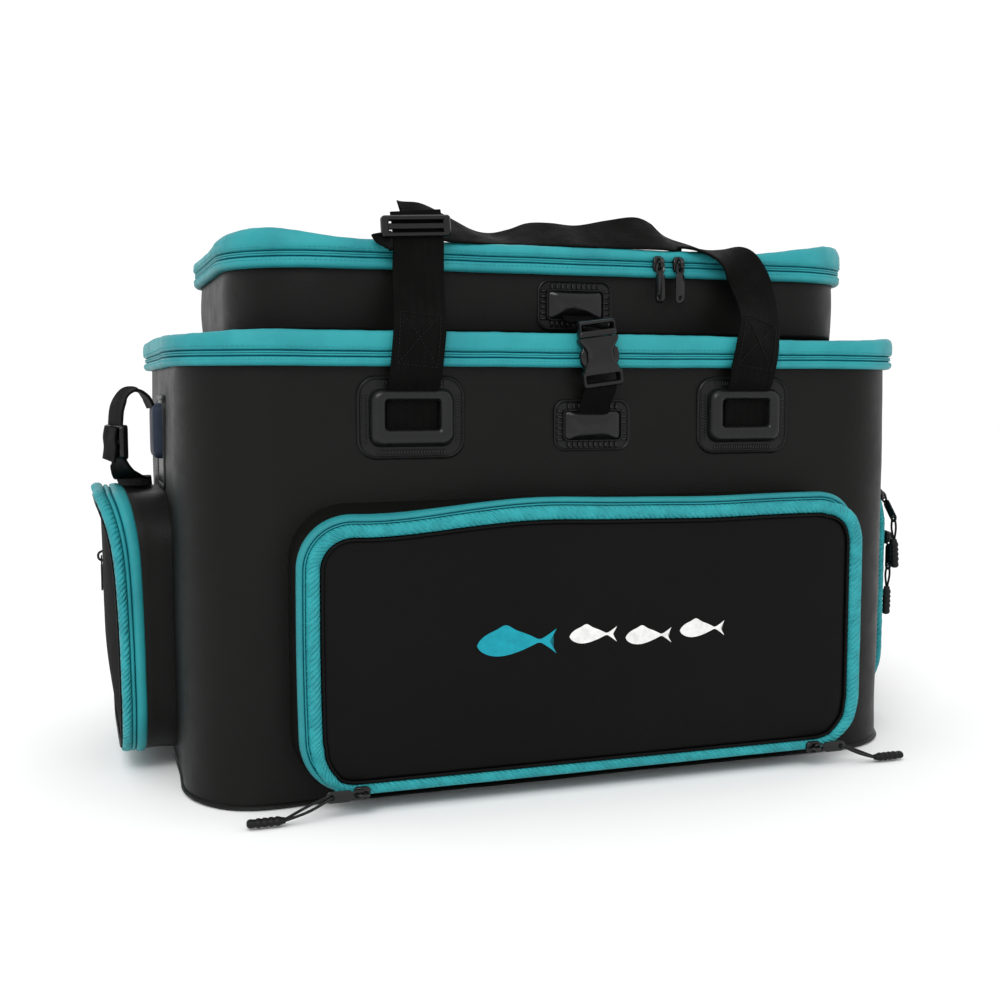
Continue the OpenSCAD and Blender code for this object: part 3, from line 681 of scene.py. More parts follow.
def build_pocket(which, w, r, out, gusset_zip, bulge, seed):
    """One pocket: gusset, fixed strip, coil, puckered flap band, piping and panel."""
    place, name = pocket_place(which), which + "_pocket"
    base = resample(*rect_loop(w, POCKET_H, r, step=4, arc_steps=24), 1.5)
    p, n, s, total = base
    open_part = zip_part(p[:, 1] + POCKET_H / 2)
    wave = soft(p[:, 0], p[:, 1], out, 34, seed)
    # profiles as (inset, out) from the flap's face
    if gusset_zip:
        strip = [(2.0, -20.5), (0.4, -20.8), (-1.2, -19.4), (-2.0, -16.8), (-1.6, -14.2), (-0.6, -13.2),
                 (1.4, -13.0), (2.0, -13.2)]
        tape = [(2.0, -13.4), (0.9, -12.9), (0.5, -12.5), (-0.7, -12.2), (-1.1, -11.2), (-0.7, -10.2),
                (0.5, -9.9), (0.9, -9.5), (2.0, -9.2)]
        band = [(3.4, -9.3), (-0.4, -9.5), (-1.8, -8.8), (-2.7, -7.4), (-2.6, -5.6), (-1.6, -4.2),
                (0.0, -3.3), (2.4, -2.8), (4.6, -2.9), (6.2, -3.6), (6.4, -5.4)]
        gusset_end, panel_in, panel_out = out - 19.5, 6.2, out - 3.4
    else:
        strip = [(0.4, -8.5), (-0.4, -7.8), (-0.9, -5.4), (-0.8, -2.6), (0.0, -0.8), (1.0, 0.0),
                 (2.0, -0.1), (2.7, -0.9), (2.9, -2.6), (2.9, -6)]
        tape = [(2.9, -3.4), (3.0, -1.7), (3.3, -1.3), (3.6, -0.7), (4.2, -0.7), (4.5, -1.3), (4.8, -1.7),
                (4.9, -3.4)]
        band = [(5.0, -5.0), (5.1, -1.6), (6.0, -0.2), (7.8, 0.6), (10.0, 0.8), (12.4, 0.4),
                (13.8, -0.5), (14.9, -1.9), (15.3, -4.0)]
        gusset_end, panel_in, panel_out = out - 6.5, 15.6, out - 3.0
    strip, tape, band = [[(i, out + o) for i, o in rows] for rows in (strip, tape, band)]
    body = which + "_flap"

    # black gusset
    gusset = [(4.0, gusset_end - 1), (4.0, -6.0), (0.0, -6.0), (-0.2, 2.0), (0.5, gusset_end * 0.4),
              (0.4, gusset_end * 0.75), (0.0, gusset_end - 1.0), (0.6, gusset_end + 0.6)]
    coarse = resample(*rect_loop(w, POCKET_H, r, step=6, arc_steps=16), 5.0)
    dent = 0.8 * soft(coarse[0][:, 0], coarse[0][:, 1], 0, 48, seed + 1)
    rings = [pocket_ring(coarse, place, i + (dent if 3 < k < 6 else 0), o) for k, (i, o) in enumerate(gusset)]
    gusset_piece = sharpen(make(name + "_gusset", *loft(rings, close_v=True), FOAM), 60)
    finish_piece(gusset_piece, "root", "foam_shell", which + "_pocket_wall")

    # fixed strip and coil, drawn back out of sight along the hinge and the front pocket's right side; the
    # front pocket's strip is painted shade, a darker copy of the band colour
    def right_part(normals):
        return np.zeros(len(normals)) if gusset_zip else np.clip((normals[:, 0] - 0.35) / 0.5, 0, 1)

    right_side = right_part(n)
    hidden = (0.0 if gusset_zip else 6.0) * (1 - open_part * (1 - right_side))

    def fixed_ring(k, i, o):
        return pocket_ring(base, place, i, o + 0.3 * wave - hidden)

    strip_piece = sweep(name + "_strip", base, strip, fixed_ring, BAND if gusset_zip else SHADED_STRIP)
    finish_piece(strip_piece, "root", "zip_coil")
    teeth = [1, 1, 1] + [0] * (len(tape) - 6) + [1, 1, 1]
    tape_piece = sweep(name + "_tape", base, tape, fixed_ring, [BAND, COIL], teeth)
    finish_piece(tape_piece, "root", "zip_coil", which + "_pocket_zip")

    # puckered band of the flap, a thin strip along the hinge and over to the edge on the right, coloured with
    # painted light: a lighter copy of the band colour
    folds = []
    for k in range(len(band)):
        turn = 2 * math.pi * (s + 1.5 * k) / total
        x, y = total / (2 * math.pi) * np.cos(turn), total / (2 * math.pi) * np.sin(turn)
        depth = 0.55 + 0.45 * soft(x, y, k * 0.2, 23, 5.0)
        folds.append(0.42 * soft(x, y, 0.75 * k + seed, 2.6, 1.0) * depth)

    foot_start = EDGE_INSET if gusset_zip else band[0][0] - 0.2

    def band_inset(inset, zip_share, right_share):
        wide = EDGE_INSET + (inset - foot_start) * 1.1
        inset = inset + (wide - inset) * right_share
        thin = EDGE_INSET + (inset - foot_start) * (0.35 if gusset_zip else 0.7)
        return thin + (inset - thin) * zip_share

    def band_ring(k, i, o):
        share = math.sin(math.pi * k / (len(band) - 1)) if k else 0
        return pocket_ring(base, place, i, o + 0.3 * wave + folds[k] * share * 1.7)

    rows = [(band_inset(i, open_part, right_side), o) for i, o in band]
    band_piece = sweep(name + "_band", base, rows, band_ring, LIT_PUCKERED)
    finish_piece(band_piece, body, "zip_band", which + "_flap_band")

    # black piping
    edge = band_inset(panel_in, open_part, right_side)
    turns = [2 * math.pi * k / 8 for k in range(8)]
    cord = [(edge + 1.0 + 1.25 * math.cos(t), panel_out + 0.9 + 1.15 * math.sin(t)) for t in turns]
    piping = sweep(name + "_piping", base, cord, lambda k, i, o: pocket_ring(base, place, i, o), PANEL)
    finish_piece(piping, body, "foam_panel")

    # panel
    panel_base = resample(*rect_loop(w, POCKET_H, r, step=6, arc_steps=16), 6.0)
    p, n = panel_base[:2]
    edge = band_inset(panel_in, zip_part(p[:, 1] + POCKET_H / 2), right_part(n))
    rings = [pocket_ring(panel_base, place, edge + extra, panel_out + drop)
             for extra, drop in ((1.0, -4.0), (1.0, -1.2), (2.2, -0.2), (4.0, 0.25), (8.0, 0.7), (14.0, 1.0))]
    inner = p - n * (edge + 14.0)[:, None]
    for t in np.linspace(0.06, 0.97, 18):
        q = inner * (1 - t)
        ripple = 0.5 * soft(q[:, 0], q[:, 1], 0, 60, seed + 2) * min(1, 3 * t)
        rise = 1.0 + bulge * (1 - (1 - t) ** 2) + ripple
        rings.append(place(q[:, 0], panel_out + rise, POCKET_Z + POCKET_H / 2 + q[:, 1]))
    panel = make(name + "_panel", *loft(rings, caps=(True, True)), SIDE_PANEL if gusset_zip else PANEL)
    finish_piece(panel, body, "foam_panel", which + "_flap_panel")


build_pocket("front", FRONT_W, FRONT_R, FRONT_OUT, False, 0.8, 1.0)
build_pocket("left", SIDE_W, SIDE_R, SIDE_OUT, True, 7.5, 2.0)
build_pocket("right", SIDE_W, SIDE_R, SIDE_OUT, True, 6.5, 3.0)


# ---------- hardware helpers: local (along, out, height) mapped onto the bag ----------

def mapper(origin, turn=0.0, tilt=0.0):
    """Maps local (along, out, height) points: tilt turns them within the face, turn about Z."""
    m = np.array(Matrix.Rotation(math.radians(turn), 3, "Z") @ Matrix.Rotation(math.radians(tilt), 3, "Y"))

    def place(a, out, h):
        a, out, h = np.broadcast_arrays(np.asarray(a, float), np.asarray(out, float), np.asarray(h, float))
        return np.column_stack([a, -out, h]) @ m.T + np.array(origin, float)
    return place


def rr(w, h, r, side=5, arc=6):
    """Rounded rectangle with fixed numbers of points, counterclockwise from its right side."""
    r = min(r, w / 2 - 0.01, h / 2 - 0.01)
    x, y = w / 2 - r, h / 2 - r
    centres = [(x, y), (-x, y), (-x, -y), (x, -y)]
    out = []
    for k in range(4):
        for i in range(arc):
            angle = math.radians(90 * k + 90 * i / (arc - 1))
            out.append(np.add(centres[k], (r * math.cos(angle), r * math.sin(angle))))
        start, turn = out[-1], math.radians(90 * (k + 1))
        end = np.add(centres[(k + 1) % 4], (r * math.cos(turn), r * math.sin(turn)))
        out += [start + (end - start) * i / side for i in range(1, side)]
    return np.array(out)


def slab(name, layers, place, material, ring=False, sharp=40):
    """Layers (w, h, r, out[, dx, dz]) stacked outwards; ring closes the last layer back on the first."""
    rings = []
    for w, h, r, out, *shift in layers:
        p = rr(w, h, r) + (shift or (0, 0))
        rings.append(place(p[:, 0], out, p[:, 1]))
    return sharpen(make(name, *loft(rings, close_v=ring, caps=(not ring, not ring)), material), sharp)


def stack(name, sections, place, material):
    """Sections (height, w, thickness, r[, dx]) stacked upwards."""
    rings = []
    for h, w, t, r, *shift in sections:
        p = rr(w, t, r)
        rings.append(place(p[:, 0] + sum(shift), p[:, 1], h))
    return sharpen(make(name, *loft(rings, caps=(True, True)), material), 45)


def join(name, pieces):
    """Several meshes as one piece."""
    bpy.context.view_layer.update()
    with bpy.context.temp_override(active_object=pieces[0], selected_editable_objects=pieces,
                                   selected_objects=pieces, object=pieces[0]):
        bpy.ops.object.join()
    pieces[0].name = name
    pieces[0].data.name = name
    return pieces[0]


def unit_rows(v):
    """Every row at length 1."""
    return v / np.linalg.norm(v, axis=1)[:, None]


def ribbon(name, points, widths, w, t):
    """Webbing along a curve, with its width along widths at each point. Returns it and its frames."""
    p, d = smooth(points, 7), smooth(widths, 7)
    tangent = unit_rows(np.gradient(p, axis=0))
    d = unit_rows(d - (d * tangent).sum(1)[:, None] * tangent)
    normal = np.cross(tangent, d)
    run = np.concatenate([[0], np.cumsum(np.linalg.norm(np.diff(p, axis=0), axis=1))])
    half, lip = w / 2, t * 0.5
    section = []
    for way in (1, -1):
        section += [(way * a, way * t / 2) for a in np.linspace(-half + lip, half - lip, 9)]
        section += [(way * (half - lip * 0.3), way * t * 0.36), (way * half, 0.0),
                    (way * (half - lip * 0.3), -way * t * 0.36)]
    rings = [np.array([p[i] + d[i] * a + normal[i] * b for a, b in section]) for i in range(len(p))]
    uvs = [(a + half, along) for along in run for a, b in section]
    return make(name, *loft(rings, caps=(True, True)), WEBBING, uvs), (p, d, normal, run)


def mirrored(half):
    """A list of points that ends on the middle plane, carried on to the other side."""
    return half + [(-x, y, z) for x, y, z in reversed(half[:-1])]


def on_ribbon(frames, lines, t, side=1):
    """Polylines of (across, along) on a ribbon's surface as lists of points and normals."""
    p, d, normal, run = frames
    out = []
    for line in lines:
        line = np.array(line, float)
        gaps = np.linalg.norm(np.diff(line, axis=0), axis=1)
        length = np.concatenate([[0], np.cumsum(gaps)])
        u = np.arange(0, length[-1], 1.0)
        a, s = np.interp(u, length, line[:, 0]), np.interp(u, length, line[:, 1])
        at, across, up = [np.stack([np.interp(s, run, rows[:, k]) for k in range(3)], 1)
                          for rows in (p, d, normal * side)]
        out.append((at + across * a[:, None] + up * (t / 2 + 0.1), up))
    return out


def box_stitch(name, frames, start, end, half, t, side, material):
    """A stitched rectangle with a cross, as on load-bearing webbing."""
    lines = [[(-half, start), (half, start), (half, end), (-half, end), (-half, start)],
             [(-half, start), (half, end)], [(half, start), (-half, end)]]
    return join(name, [stitch_row(f"{name}_{i}", line, up, 3.0, 2.1, 0.35, material)
                       for i, (line, up) in enumerate(on_ribbon(frames, lines, t, side))])


def tube(name, points, radius, material, per):
    """A round rod along a curve."""
    p = smooth(points, per)
    tangent = unit_rows(np.gradient(p, axis=0))
    ref = np.array([0, 0, 1.0]) if abs(tangent[0][2]) < 0.9 else np.array([1.0, 0, 0])
    turns = np.linspace(0, 2 * math.pi, 10, endpoint=False)
    rings = []
    for at, ahead in zip(p, tangent):
        ref = ref - (ref @ ahead) * ahead
        ref /= np.linalg.norm(ref)
        side = np.cross(ahead, ref)
        rings.append(np.array([at + radius * (ref * math.cos(k) + side * math.sin(k)) for k in turns]))
    return make(name, *loft(rings, caps=(True, True)), material)


# ---------- patches ----------

def rib_row(name, bars, place, out, material, size):
    """Short raised ribs at (along, height, turned) places on a patch."""
    w, length, tall = size
    verts, faces = [], []
    for a, h, turned in bars:
        p = rr(length if turned else w, w if turned else length, w * 0.45, side=1, arc=3)
        q = p * 0.6
        rib = [(p, out - 0.2), (p, out + tall * 0.6), (q, out + tall)]
        v, f = loft([place(edge[:, 0] + a, o, edge[:, 1] + h) for edge, o in rib], caps=(True, True))
        faces += [tuple(i + len(verts) for i in face) for face in f]
        verts += list(v)
    return make(name, verts, faces, material)


def build_handle_patch(node, turn, origin):
    """A stitched patch with a raised frame that a carrying handle comes out of."""
    place = mapper(origin, turn)
    base = slab(node + "_base", [(79, 59, 14, -1.5), (79.2, 59.2, 14, 1.0), (78.4, 58.4, 13.6, 2.0),
                                 (76.4, 56.4, 12.8, 2.6), (74.6, 54.6, 12, 2.3), (73.6, 53.6, 11.5, 1.5),
                                 (71, 51, 10.5, 1.5), (66, 46, 9, 1.9), (50, 30, 5, 2.0)], place, MOULDED)
    finish_piece(base, "root", "moulded_patch")
    rim = slab(node + "_frame", [(62, 41.5, 8.5, 1.2), (61.8, 41.3, 8.4, 3.4), (60.6, 40.1, 8, 5.4),
                                 (57.8, 37.4, 7.2, 7.6), (54.5, 34.4, 6.4, 8.8), (51, 31.4, 5.6, 9.1),
                                 (46, 26.6, 4.4, 9.0, 0, 1), (42.2, 23, 3.2, 8.3, 0, 1.6),
                                 (40, 21, 2.4, 6.8, 0, 2), (39, 20, 2, 4.6, 0, 2), (39, 20, 2, 1.2, 0, 2)],
               place, FRAME, ring=True, sharp=60)
    finish_piece(rim, "root", "moulded_patch", node)
    bars = [(side * 34.2, h, True) for side in (-1, 1) for h in np.arange(-17.5, 18, 2.1)]
    bars += [(a, h, False) for h in (-24.2, 24.2) for a in np.arange(-24.5, 25, 2.1)]
    finish_piece(rib_row(node + "_ribs", bars, place, 1.6, GLOSSY, (1.0, 3.8, 0.9)), "root", "moulded_patch")
    loop = rr(75.8, 55.8, 12.4, side=14, arc=10)
    dense = smooth(loop, 3, closed=True)
    line = place(dense[:, 0], 2.55, dense[:, 1])
    up = place(dense[:, 0], 3.55, dense[:, 1]) - line
    stitches = stitch_row(node + "_stitches", line, up, 2.6, 1.7, 0.28, BLACK_THREAD)
    finish_piece(stitches, "root", "moulded_patch")


PATCH_Z, HANDLE_X = 272.5, 132.0
for wall, turn, y in (("front", 0, FRONT_Y), ("rear", 180, REAR_Y)):
    for tag, side in (("left", -1), ("right", 1)):
        build_handle_patch(f"patch_{wall}_{tag}", turn, (side * HANDLE_X, y, PATCH_Z))


def build_pillow_patch(node, body, origin, sag):
    """Small ribbed patch with a glossy welded pillow that holds the buckle's webbing."""
    place = mapper(origin)
    base = slab(node + "_base", [(61, 38, 9, -1.5), (61.2, 38.2, 9, 1.0), (60.4, 37.4, 8.6, 2.1),
                                 (58.8, 35.8, 8, 2.5), (57.4, 34.4, 7.4, 2.0), (56.4, 33.4, 7, 1.2),
                                 (46, 23, 4, 1.3)], place, MOULDED)
    finish_piece(base, body, "moulded_patch")
    bars = [(side * 25.4, h, True) for side in (-1, 1) for h in np.arange(-10.5, 11, 4.2)]
    bars += [(a, side * 14.0, False) for side in (-1, 1) for a in np.arange(-18.9, 19, 4.2)]
    finish_piece(rib_row(node + "_ribs", bars, place, 1.2, GLOSSY, (1.7, 4.8, 1.7)), body, "moulded_patch")
    edge = slab(node + "_edge", [(47.4, 23.8, 4.2, 0.8), (47.4, 23.8, 4.2, 3.0), (46.6, 23, 4, 3.7),
                                 (45.4, 21.8, 3.6, 3.7), (44.8, 21.2, 3.4, 3.0), (44.8, 21.2, 3.4, 0.8)],
                place, MOULDED, ring=True)
    finish_piece(edge, body, "moulded_patch")
    rings = []
    for t in np.linspace(0, 0.96, 13):
        p = rr(45.2 * (1 - t), 21.6 * (1 - t), 3.6 * (1 - t))
        fat = 2.6 + 4.9 * (1 - (1 - t) ** 2.2)
        droop = sag * (p[:, 1] / 10.0) * (1 - (p[:, 0] / 24.0) ** 2) * min(1, 5 * t)
        crease = 0.35 * soft(p[:, 0], p[:, 1], 0, 6.5, 7.0) * min(1, 4 * t)
        rings.append(place(p[:, 0], fat + droop + crease, p[:, 1]))
    start = rr(45.2, 21.6, 3.6)
    verts, faces = loft([place(start[:, 0], 0.8, start[:, 1])] + rings, caps=(True, True))
    finish_piece(make(node + "_pillow", verts, faces, GLOSSY), body, "moulded_patch", node)


BUCKLE_X = SHIFT_X
build_pillow_patch("lower_buckle_patch", "root", (BUCKLE_X, FRONT_Y, 266.0), 0.4)
build_pillow_patch("upper_buckle_patch", "upper_bag", (BUCKLE_X, UPPER_FRONT_Y, 356.0), 1.1)

for node, turn, x in (("side_patch_left", -90, -SIDE_X), ("side_patch_right", 90, SIDE_X)):
    place = mapper((x, 0, 251.0), turn)
    base = slab(node + "_base", [(72, 74, 12, -1.5), (72.2, 74.2, 12, 1.2), (71, 73, 11.5, 2.4),
                                 (68, 70, 10.5, 2.9), (65.5, 67.5, 9.5, 2.6), (64, 66, 9, 1.9),
                                 (60, 62, 8, 2.0), (30, 30, 5, 2.0)], place, MOULDED)
    finish_piece(base, "root", "side_patch")
    bars = [(side * 29.4, h, True) for side in (-1, 1) for h in np.arange(-27, 28, 2.7)]
    bars += [(a, -30.4, False) for a in np.arange(-23, 24, 2.7)]
    finish_piece(rib_row(node + "_ribs", bars, place, 1.9, MOULDED, (1.1, 4.2, 0.8)), "root", "side_patch")
    pad_place = mapper((x, 0, 260.0), turn)
    layers = [(50, 43, 6.5, 1.6), (50, 43, 6.5, 5.4), (49, 42, 6.2, 7.0), (46.5, 39.5, 5.6, 8.3),
              (42, 35, 4.8, 9.0), (30, 24, 4, 9.4), (12, 9, 3, 9.5)]
    finish_piece(slab(node + "_pad", layers, pad_place, SIDE_PLASTIC, sharp=60), "root", "side_patch", node)


# ---------- carrying handles ----------

WEB_W = 38.0
left_leg = [(-132, -177.6, 258), (-132, -178.2, 276), (-132, -179.8, 289), (-131.5, -184.9, 299),
            (-130.5, -187.0, 309), (-129, -187.2, 324), (-127, -183, 338), (-124.6, -172, 354),
            (-122.4, -161.5, 370), (-120.8, -156.2, 385), (-120.4, -155.2, 398), (-121, -154.4, 409),
            (-122, -152.6, 420)]
straight = [(1, 0, 0)] * len(left_leg)
left_piece, left_frames = ribbon("front_handle_left_leg", left_leg, straight, WEB_W, WEB_T)

# the grip stands on its edge behind the upper rim: (x, height of its upper edge, distance from the front)
grip_tops = [(-112, 429, -139), (-96, 424.5, -134), (-80, 418.6, -130), (-64, 413, -126), (-50, 411.6, -123),
             (-36, 415, -123), (-22, 420, -125), (-4, 420.6, -127), (18, 419.6, -127), (42, 424, -129),
             (64, 427.0, -131), (81, 422.5, -130), (97, 413, -127)]
grip_low = 399.8
right_leg = [(134, -177.6, 258), (134, -178.2, 276), (134, -179.8, 289), (134.2, -184.9, 299),
             (135, -187.0, 309), (138, -186.8, 323), (143.5, -180, 338), (148, -169, 354),
             (148.5, -160.5, 368), (145, -156.4, 381), (136.5, -154.0, 392), (124.5, -147.5, 398),
             (111, -137.5, 402)]
right_width = [(1, 0, 0), (1, 0, 0), (1, 0, 0), (1, 0, 0.02), (1, 0, 0), (1, 0.05, -0.2), (1, 0.1, -0.28),
               (1, 0.08, -0.16), (1, 0.05, 0.02), (0.95, 0.1, 0.22), (0.86, 0.3, 0.4), (0.7, 0.68, 0.2),
               (0.35, 0.92, 0.12)]
grip_points, grip_width = list(right_leg), list(right_width)
for x, top, y in reversed(grip_tops):
    rise = (top - grip_low) / WEB_W
    flat_part = math.sqrt(1 - rise ** 2)
    grip_points.append((x, y - 8 + flat_part * 8, top - rise * WEB_W / 2))
    grip_width.append((0, flat_part, rise))
grip_points.append((-128, -146, 410))
grip_width.append((0.62, 0.2, 0.76))
grip_piece, grip_frames = ribbon("front_handle_grip", grip_points, grip_width, WEB_W, WEB_T)
for piece in (left_piece, grip_piece):
    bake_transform(piece)
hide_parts("front_handle")


LEG_ROWS = 60                           # a ribbon's first rows, which climb its leg


def along_at(frames, height):
    """Running length at which a leg first reaches a height."""
    p, _, _, run = frames
    return float(run[np.argmax(p[:LEG_ROWS, 2] >= height)])


for name, frames in (("left_leg_stitches", left_frames), ("right_leg_stitches", grip_frames)):
    outward = 1 if frames[2][LEG_ROWS // 2][1] < 0 else -1
    a, b = along_at(frames, 308), along_at(frames, 344)
    finish_piece(box_stitch(name, frames, a, b, 14.5, WEB_T, outward, BLACK_THREAD), "front_carry", "webbing")

glide_place = mapper((-122.6, -156.6, 408.6), 0, -3.0)
glide = [slab("handle_glide_frame", [(51, 15.5, 2.6, -2.6), (51.4, 15.9, 2.8, -0.6), (51.0, 15.5, 2.8, 1.6),
                                     (49.0, 13.6, 2.2, 2.6), (42.4, 9.4, 1.2, 2.5), (40.4, 8.0, 0.8, 1.4),
                                     (40.2, 7.8, 0.7, -2.6)], glide_place, GLOSSY, ring=True),
         slab("handle_glide_bar", [(42, 4.4, 1.8, -1.4), (42, 4.6, 1.9, 0.6), (42, 3.4, 1.4, 1.8)],
              glide_place, GLOSSY)]
finish_piece(join("handle_glide_visual", glide), "front_carry", "buckle_plastic", "handle_glide")
loop_pts = [(-146, -148, 404), (-143, -150, 398), (-137.5, -152, 392.5)]
end_piece, _ = ribbon("strap_end", loop_pts, [(0.8, 0.1, -0.5)] * 3, 20, WEB_T)
finish_piece(end_piece, "front_carry", "webbing")

rear = [(-132, 177.6, 258), (-132, 178.2, 276), (-132, 180, 290), (-132, 183.4, 298.5), (-132, 187.4, 299.4),
        (-132, 189.4, 292), (-132, 189.0, 275), (-132, 188.6, 250), (-132, 188.6, 220), (-130, 188.6, 196),
        (-120, 188.6, 176), (-100, 188.4, 168), (-70, 188.2, 166.5), (-35, 188.0, 165.8), (0, 188.0, 165.5)]
rear_width = [(1, 0, 0)] * 9 + [(0.97, 0, 0.25), (0.72, 0, 0.7), (0.2, 0, 0.98)] + [(0, 0, 1)] * 3
rear_piece, _ = ribbon("rear_handle_webbing", mirrored(rear), mirrored(rear_width), WEB_W, WEB_T)
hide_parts("rear_handle")
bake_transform(rear_piece)


# ---------- buckle ----------

BUCKLE_TILT = -7.5
BUCKLE_Y = FRONT_Y - 13.3
buckle = mapper((BUCKLE_X, BUCKLE_Y, 321), 0, BUCKLE_TILT)
below = mapper((BUCKLE_X + 2.7, BUCKLE_Y, 300.6), 0, BUCKLE_TILT)
above = mapper((BUCKLE_X - 2.1, BUCKLE_Y, 337.4), 0, BUCKLE_TILT)
lower_web = [(6, -177.0, 271), (6, -181.0, 279), (6.8, -185.0, 286.5), (8, -187.8, 293), (8.8, -188.2, 299.5)]
web_width = [(1, 0, 0), (1, 0, 0), (1, 0, -0.05), (1, 0, -0.12), (1, 0, -0.13)]
piece, _ = ribbon("lower_buckle_webbing", lower_web, web_width, 24.5, 2.0)
finish_piece(piece, "root", "webbing", "lower_buckle_web")
upper_web = [(6, -146.5, 347), (5.6, -153, 343.6), (5.0, -166, 341.8), (4.2, -178, 341.2), (3.6, -187.6, 338)]
web_width = [(1, 0, 0), (1, 0, 0), (1, 0.02, 0), (1, 0.05, -0.05), (1, 0, -0.13)]
piece, _ = ribbon("upper_buckle_webbing", upper_web, web_width, 24.5, 2.0)
finish_piece(piece, "upper_bag", "webbing", "upper_buckle_web")

socket = [slab("socket_ladder", [(32, 12, 2.4, -3.4), (32.6, 12.6, 2.6, -1.4), (32.4, 12.4, 2.6, 2.0),
                                 (30.8, 10.8, 2, 3.6), (27.4, 6.4, 1.2, 3.4), (26.2, 5.0, 0.8, 2.0),
                                 (26, 4.8, 0.8, -3.4)], below, GLOSSY, ring=True),
          stack("socket_body", [(-17.5, 24, 5.5, 2), (-16.5, 27.5, 7.6, 2.6), (-14, 28.5, 8.8, 3),
                                (-10, 24.6, 9.6, 3.4), (-7, 21.6, 10, 3.6), (-1, 21.2, 10.2, 3.6),
                                (2.4, 24.8, 10.4, 3.4), (6, 30.2, 10.4, 3.2), (8, 31.2, 10.2, 3),
                                (9.4, 31.0, 9.6, 2.8), (9.6, 29.4, 8.0, 2.2), (8.6, 28.6, 7.0, 1.8),
                                (1, 22, 6.4, 1.6), (-9, 20, 6.0, 1.6)], buckle, GLOSSY)]
finish_piece(join("buckle_socket_visual", socket), "root", "buckle_plastic", "buckle_socket")
plug = [slab("plug_ladder", [(29, 10.8, 2.4, -3.0), (29.6, 11.4, 2.6, -1.2), (29.4, 11.2, 2.6, 1.8),
                             (27.8, 9.6, 2, 3.2), (26.0, 6.0, 1.4, 3.0), (24.8, 4.8, 1.0, 1.8),
                             (24.6, 4.6, 1, -3.0)], above, GLOSSY, ring=True),
        stack("plug_shoulder", [(9.9, 27, 6.6, 2), (10.4, 29.6, 8.2, 2.6), (12.4, 30.2, 8.4, 2.6),
                                (14.2, 29.2, 6.8, 2.2), (14.8, 27, 5, 1.8)], buckle, GLOSSY),
        stack("plug_tongue", [(-9, 4, 2, 0.8), (-8, 5.6, 3, 1), (10, 6, 3, 1)], buckle, GLOSSY)]
finish_piece(join("buckle_plug_visual", plug), "upper_bag", "buckle_plastic", "buckle_plug")
prong = [(10.2, 3.0, 3.4, 1, 10.5), (4, 3.0, 3.4, 1, 10.8), (1.2, 3.6, 4.2, 1.2, 11.6),
         (0.2, 4.8, 5.2, 1.6, 12.4), (-3.5, 5.6, 5.8, 2, 12.6), (-8, 5.2, 5.6, 2, 12.4),
         (-10.6, 3.6, 4.4, 1.6, 11.8), (-11.4, 2, 3, 0.9, 11.2)]
for side, tag in ((-1, "left"), (1, "right")):
    sections = [(*section, side * dx) for *section, dx in prong]
    piece = stack(f"buckle_prong_{tag}_visual", sections, buckle, GLOSSY)
    finish_piece(piece, f"prong_{tag}", "buckle_plastic", f"buckle_prong_{tag}")


# ---------- shoulder strap ----------

# half of the strap, from inside a side patch down to the middle of the rear
half_route = [(299, 0, 278), (303, 0, 286.5), (310, 1, 291.5), (318, 3, 289), (324, 6, 279), (326, 9, 265),
              (325.8, 10, 251), (324.6, 10.5, 239), (321.5, 12, 230), (316.5, 19, 223.6), (313, 32, 220.6),
              (312, 48, 219.6), (311, 64, 219), (310, 80, 218.4), (309, 94, 217), (307, 105, 209),
              (303, 116, 198), (294, 127, 186),
              (286.5, 145, 171), (275, 160, 158), (260.5, 171.5, 148), (243, 178.7, 140), (224, 181, 134),
              (180, 181.6, 123), (135, 181.6, 114), (90, 181.6, 108), (45, 181.6, 104), (0, 181.6, 103)]
half_width = ([(0.12, 1, 0), (0.2, 1, 0.1), (0.28, 1, 0.1)] + [(0.32, 1, 0)] * 5
              + [(0.5, 0.9, 0), (0.9, 0.6, 0.1), (1, 0.1, 0), (1, 0, 0), (1, 0, 0), (1, 0, 0), (1, 0, 0.1),
                 (1, 0, 0.4), (0.7, 0, 0.8), (0.2, 0, 1)] + [(0, 0, 1)] * 10)
piece, _ = ribbon("shoulder_strap_webbing", mirrored(half_route), mirrored(half_width), 30, WEB_T)
finish_piece(piece, "root", "webbing", "shoulder_strap")
adjusters = []
for side in (-1, 1):
    place = mapper((side * 325.8, 10, 251), side * (90 - 17))
    adjusters += [slab("adjuster_frame", [(37, 27, 3, -3.2), (37.6, 27.6, 3.2, -1), (37.2, 27.2, 3.2, 1.6),
                                          (35.4, 25.4, 2.6, 3.2), (32.4, 20.6, 1.6, 3.0),
                                          (31.4, 19.4, 1.2, 1.6), (31.2, 19.2, 1.2, -3.2)],
                       place, GLOSSY, ring=True),
                  slab("adjuster_bar", [(33, 5, 2, 1.3), (33, 5.4, 2.2, 2.6), (33, 4, 1.6, 3.8)],
                       place, GLOSSY)]
finish_piece(join("strap_adjusters_visual", adjusters), "root", "buckle_plastic", "strap_adjusters")
for side, tag in ((-1, "left"), (1, "right")):
    tail = [(side * 329.2, 9, 263), (side * 330.6, 9, 255), (side * 330.2, 9.5, 246), (side * 331.6, 10, 236)]
    piece, _ = ribbon(f"strap_tail_{tag}", tail, [(side * 0.32, 1, 0)] * 4, 28, WEB_T)
    finish_piece(piece, "root", "webbing")


# ---------- sliders, tabs, cords and grips ----------

PIN_OUT, TAB_LEN, FRONT_TAB_LEN = 5.2, 30.0, 26.0
FOOT_SLIDER_X, LEFT_SLIDER_Z, RIGHT_LOW_Z, RIGHT_HIGH_ANGLE = 178.0, 150.0, 160.0, 42.0
SLIDER_IN = 2.1


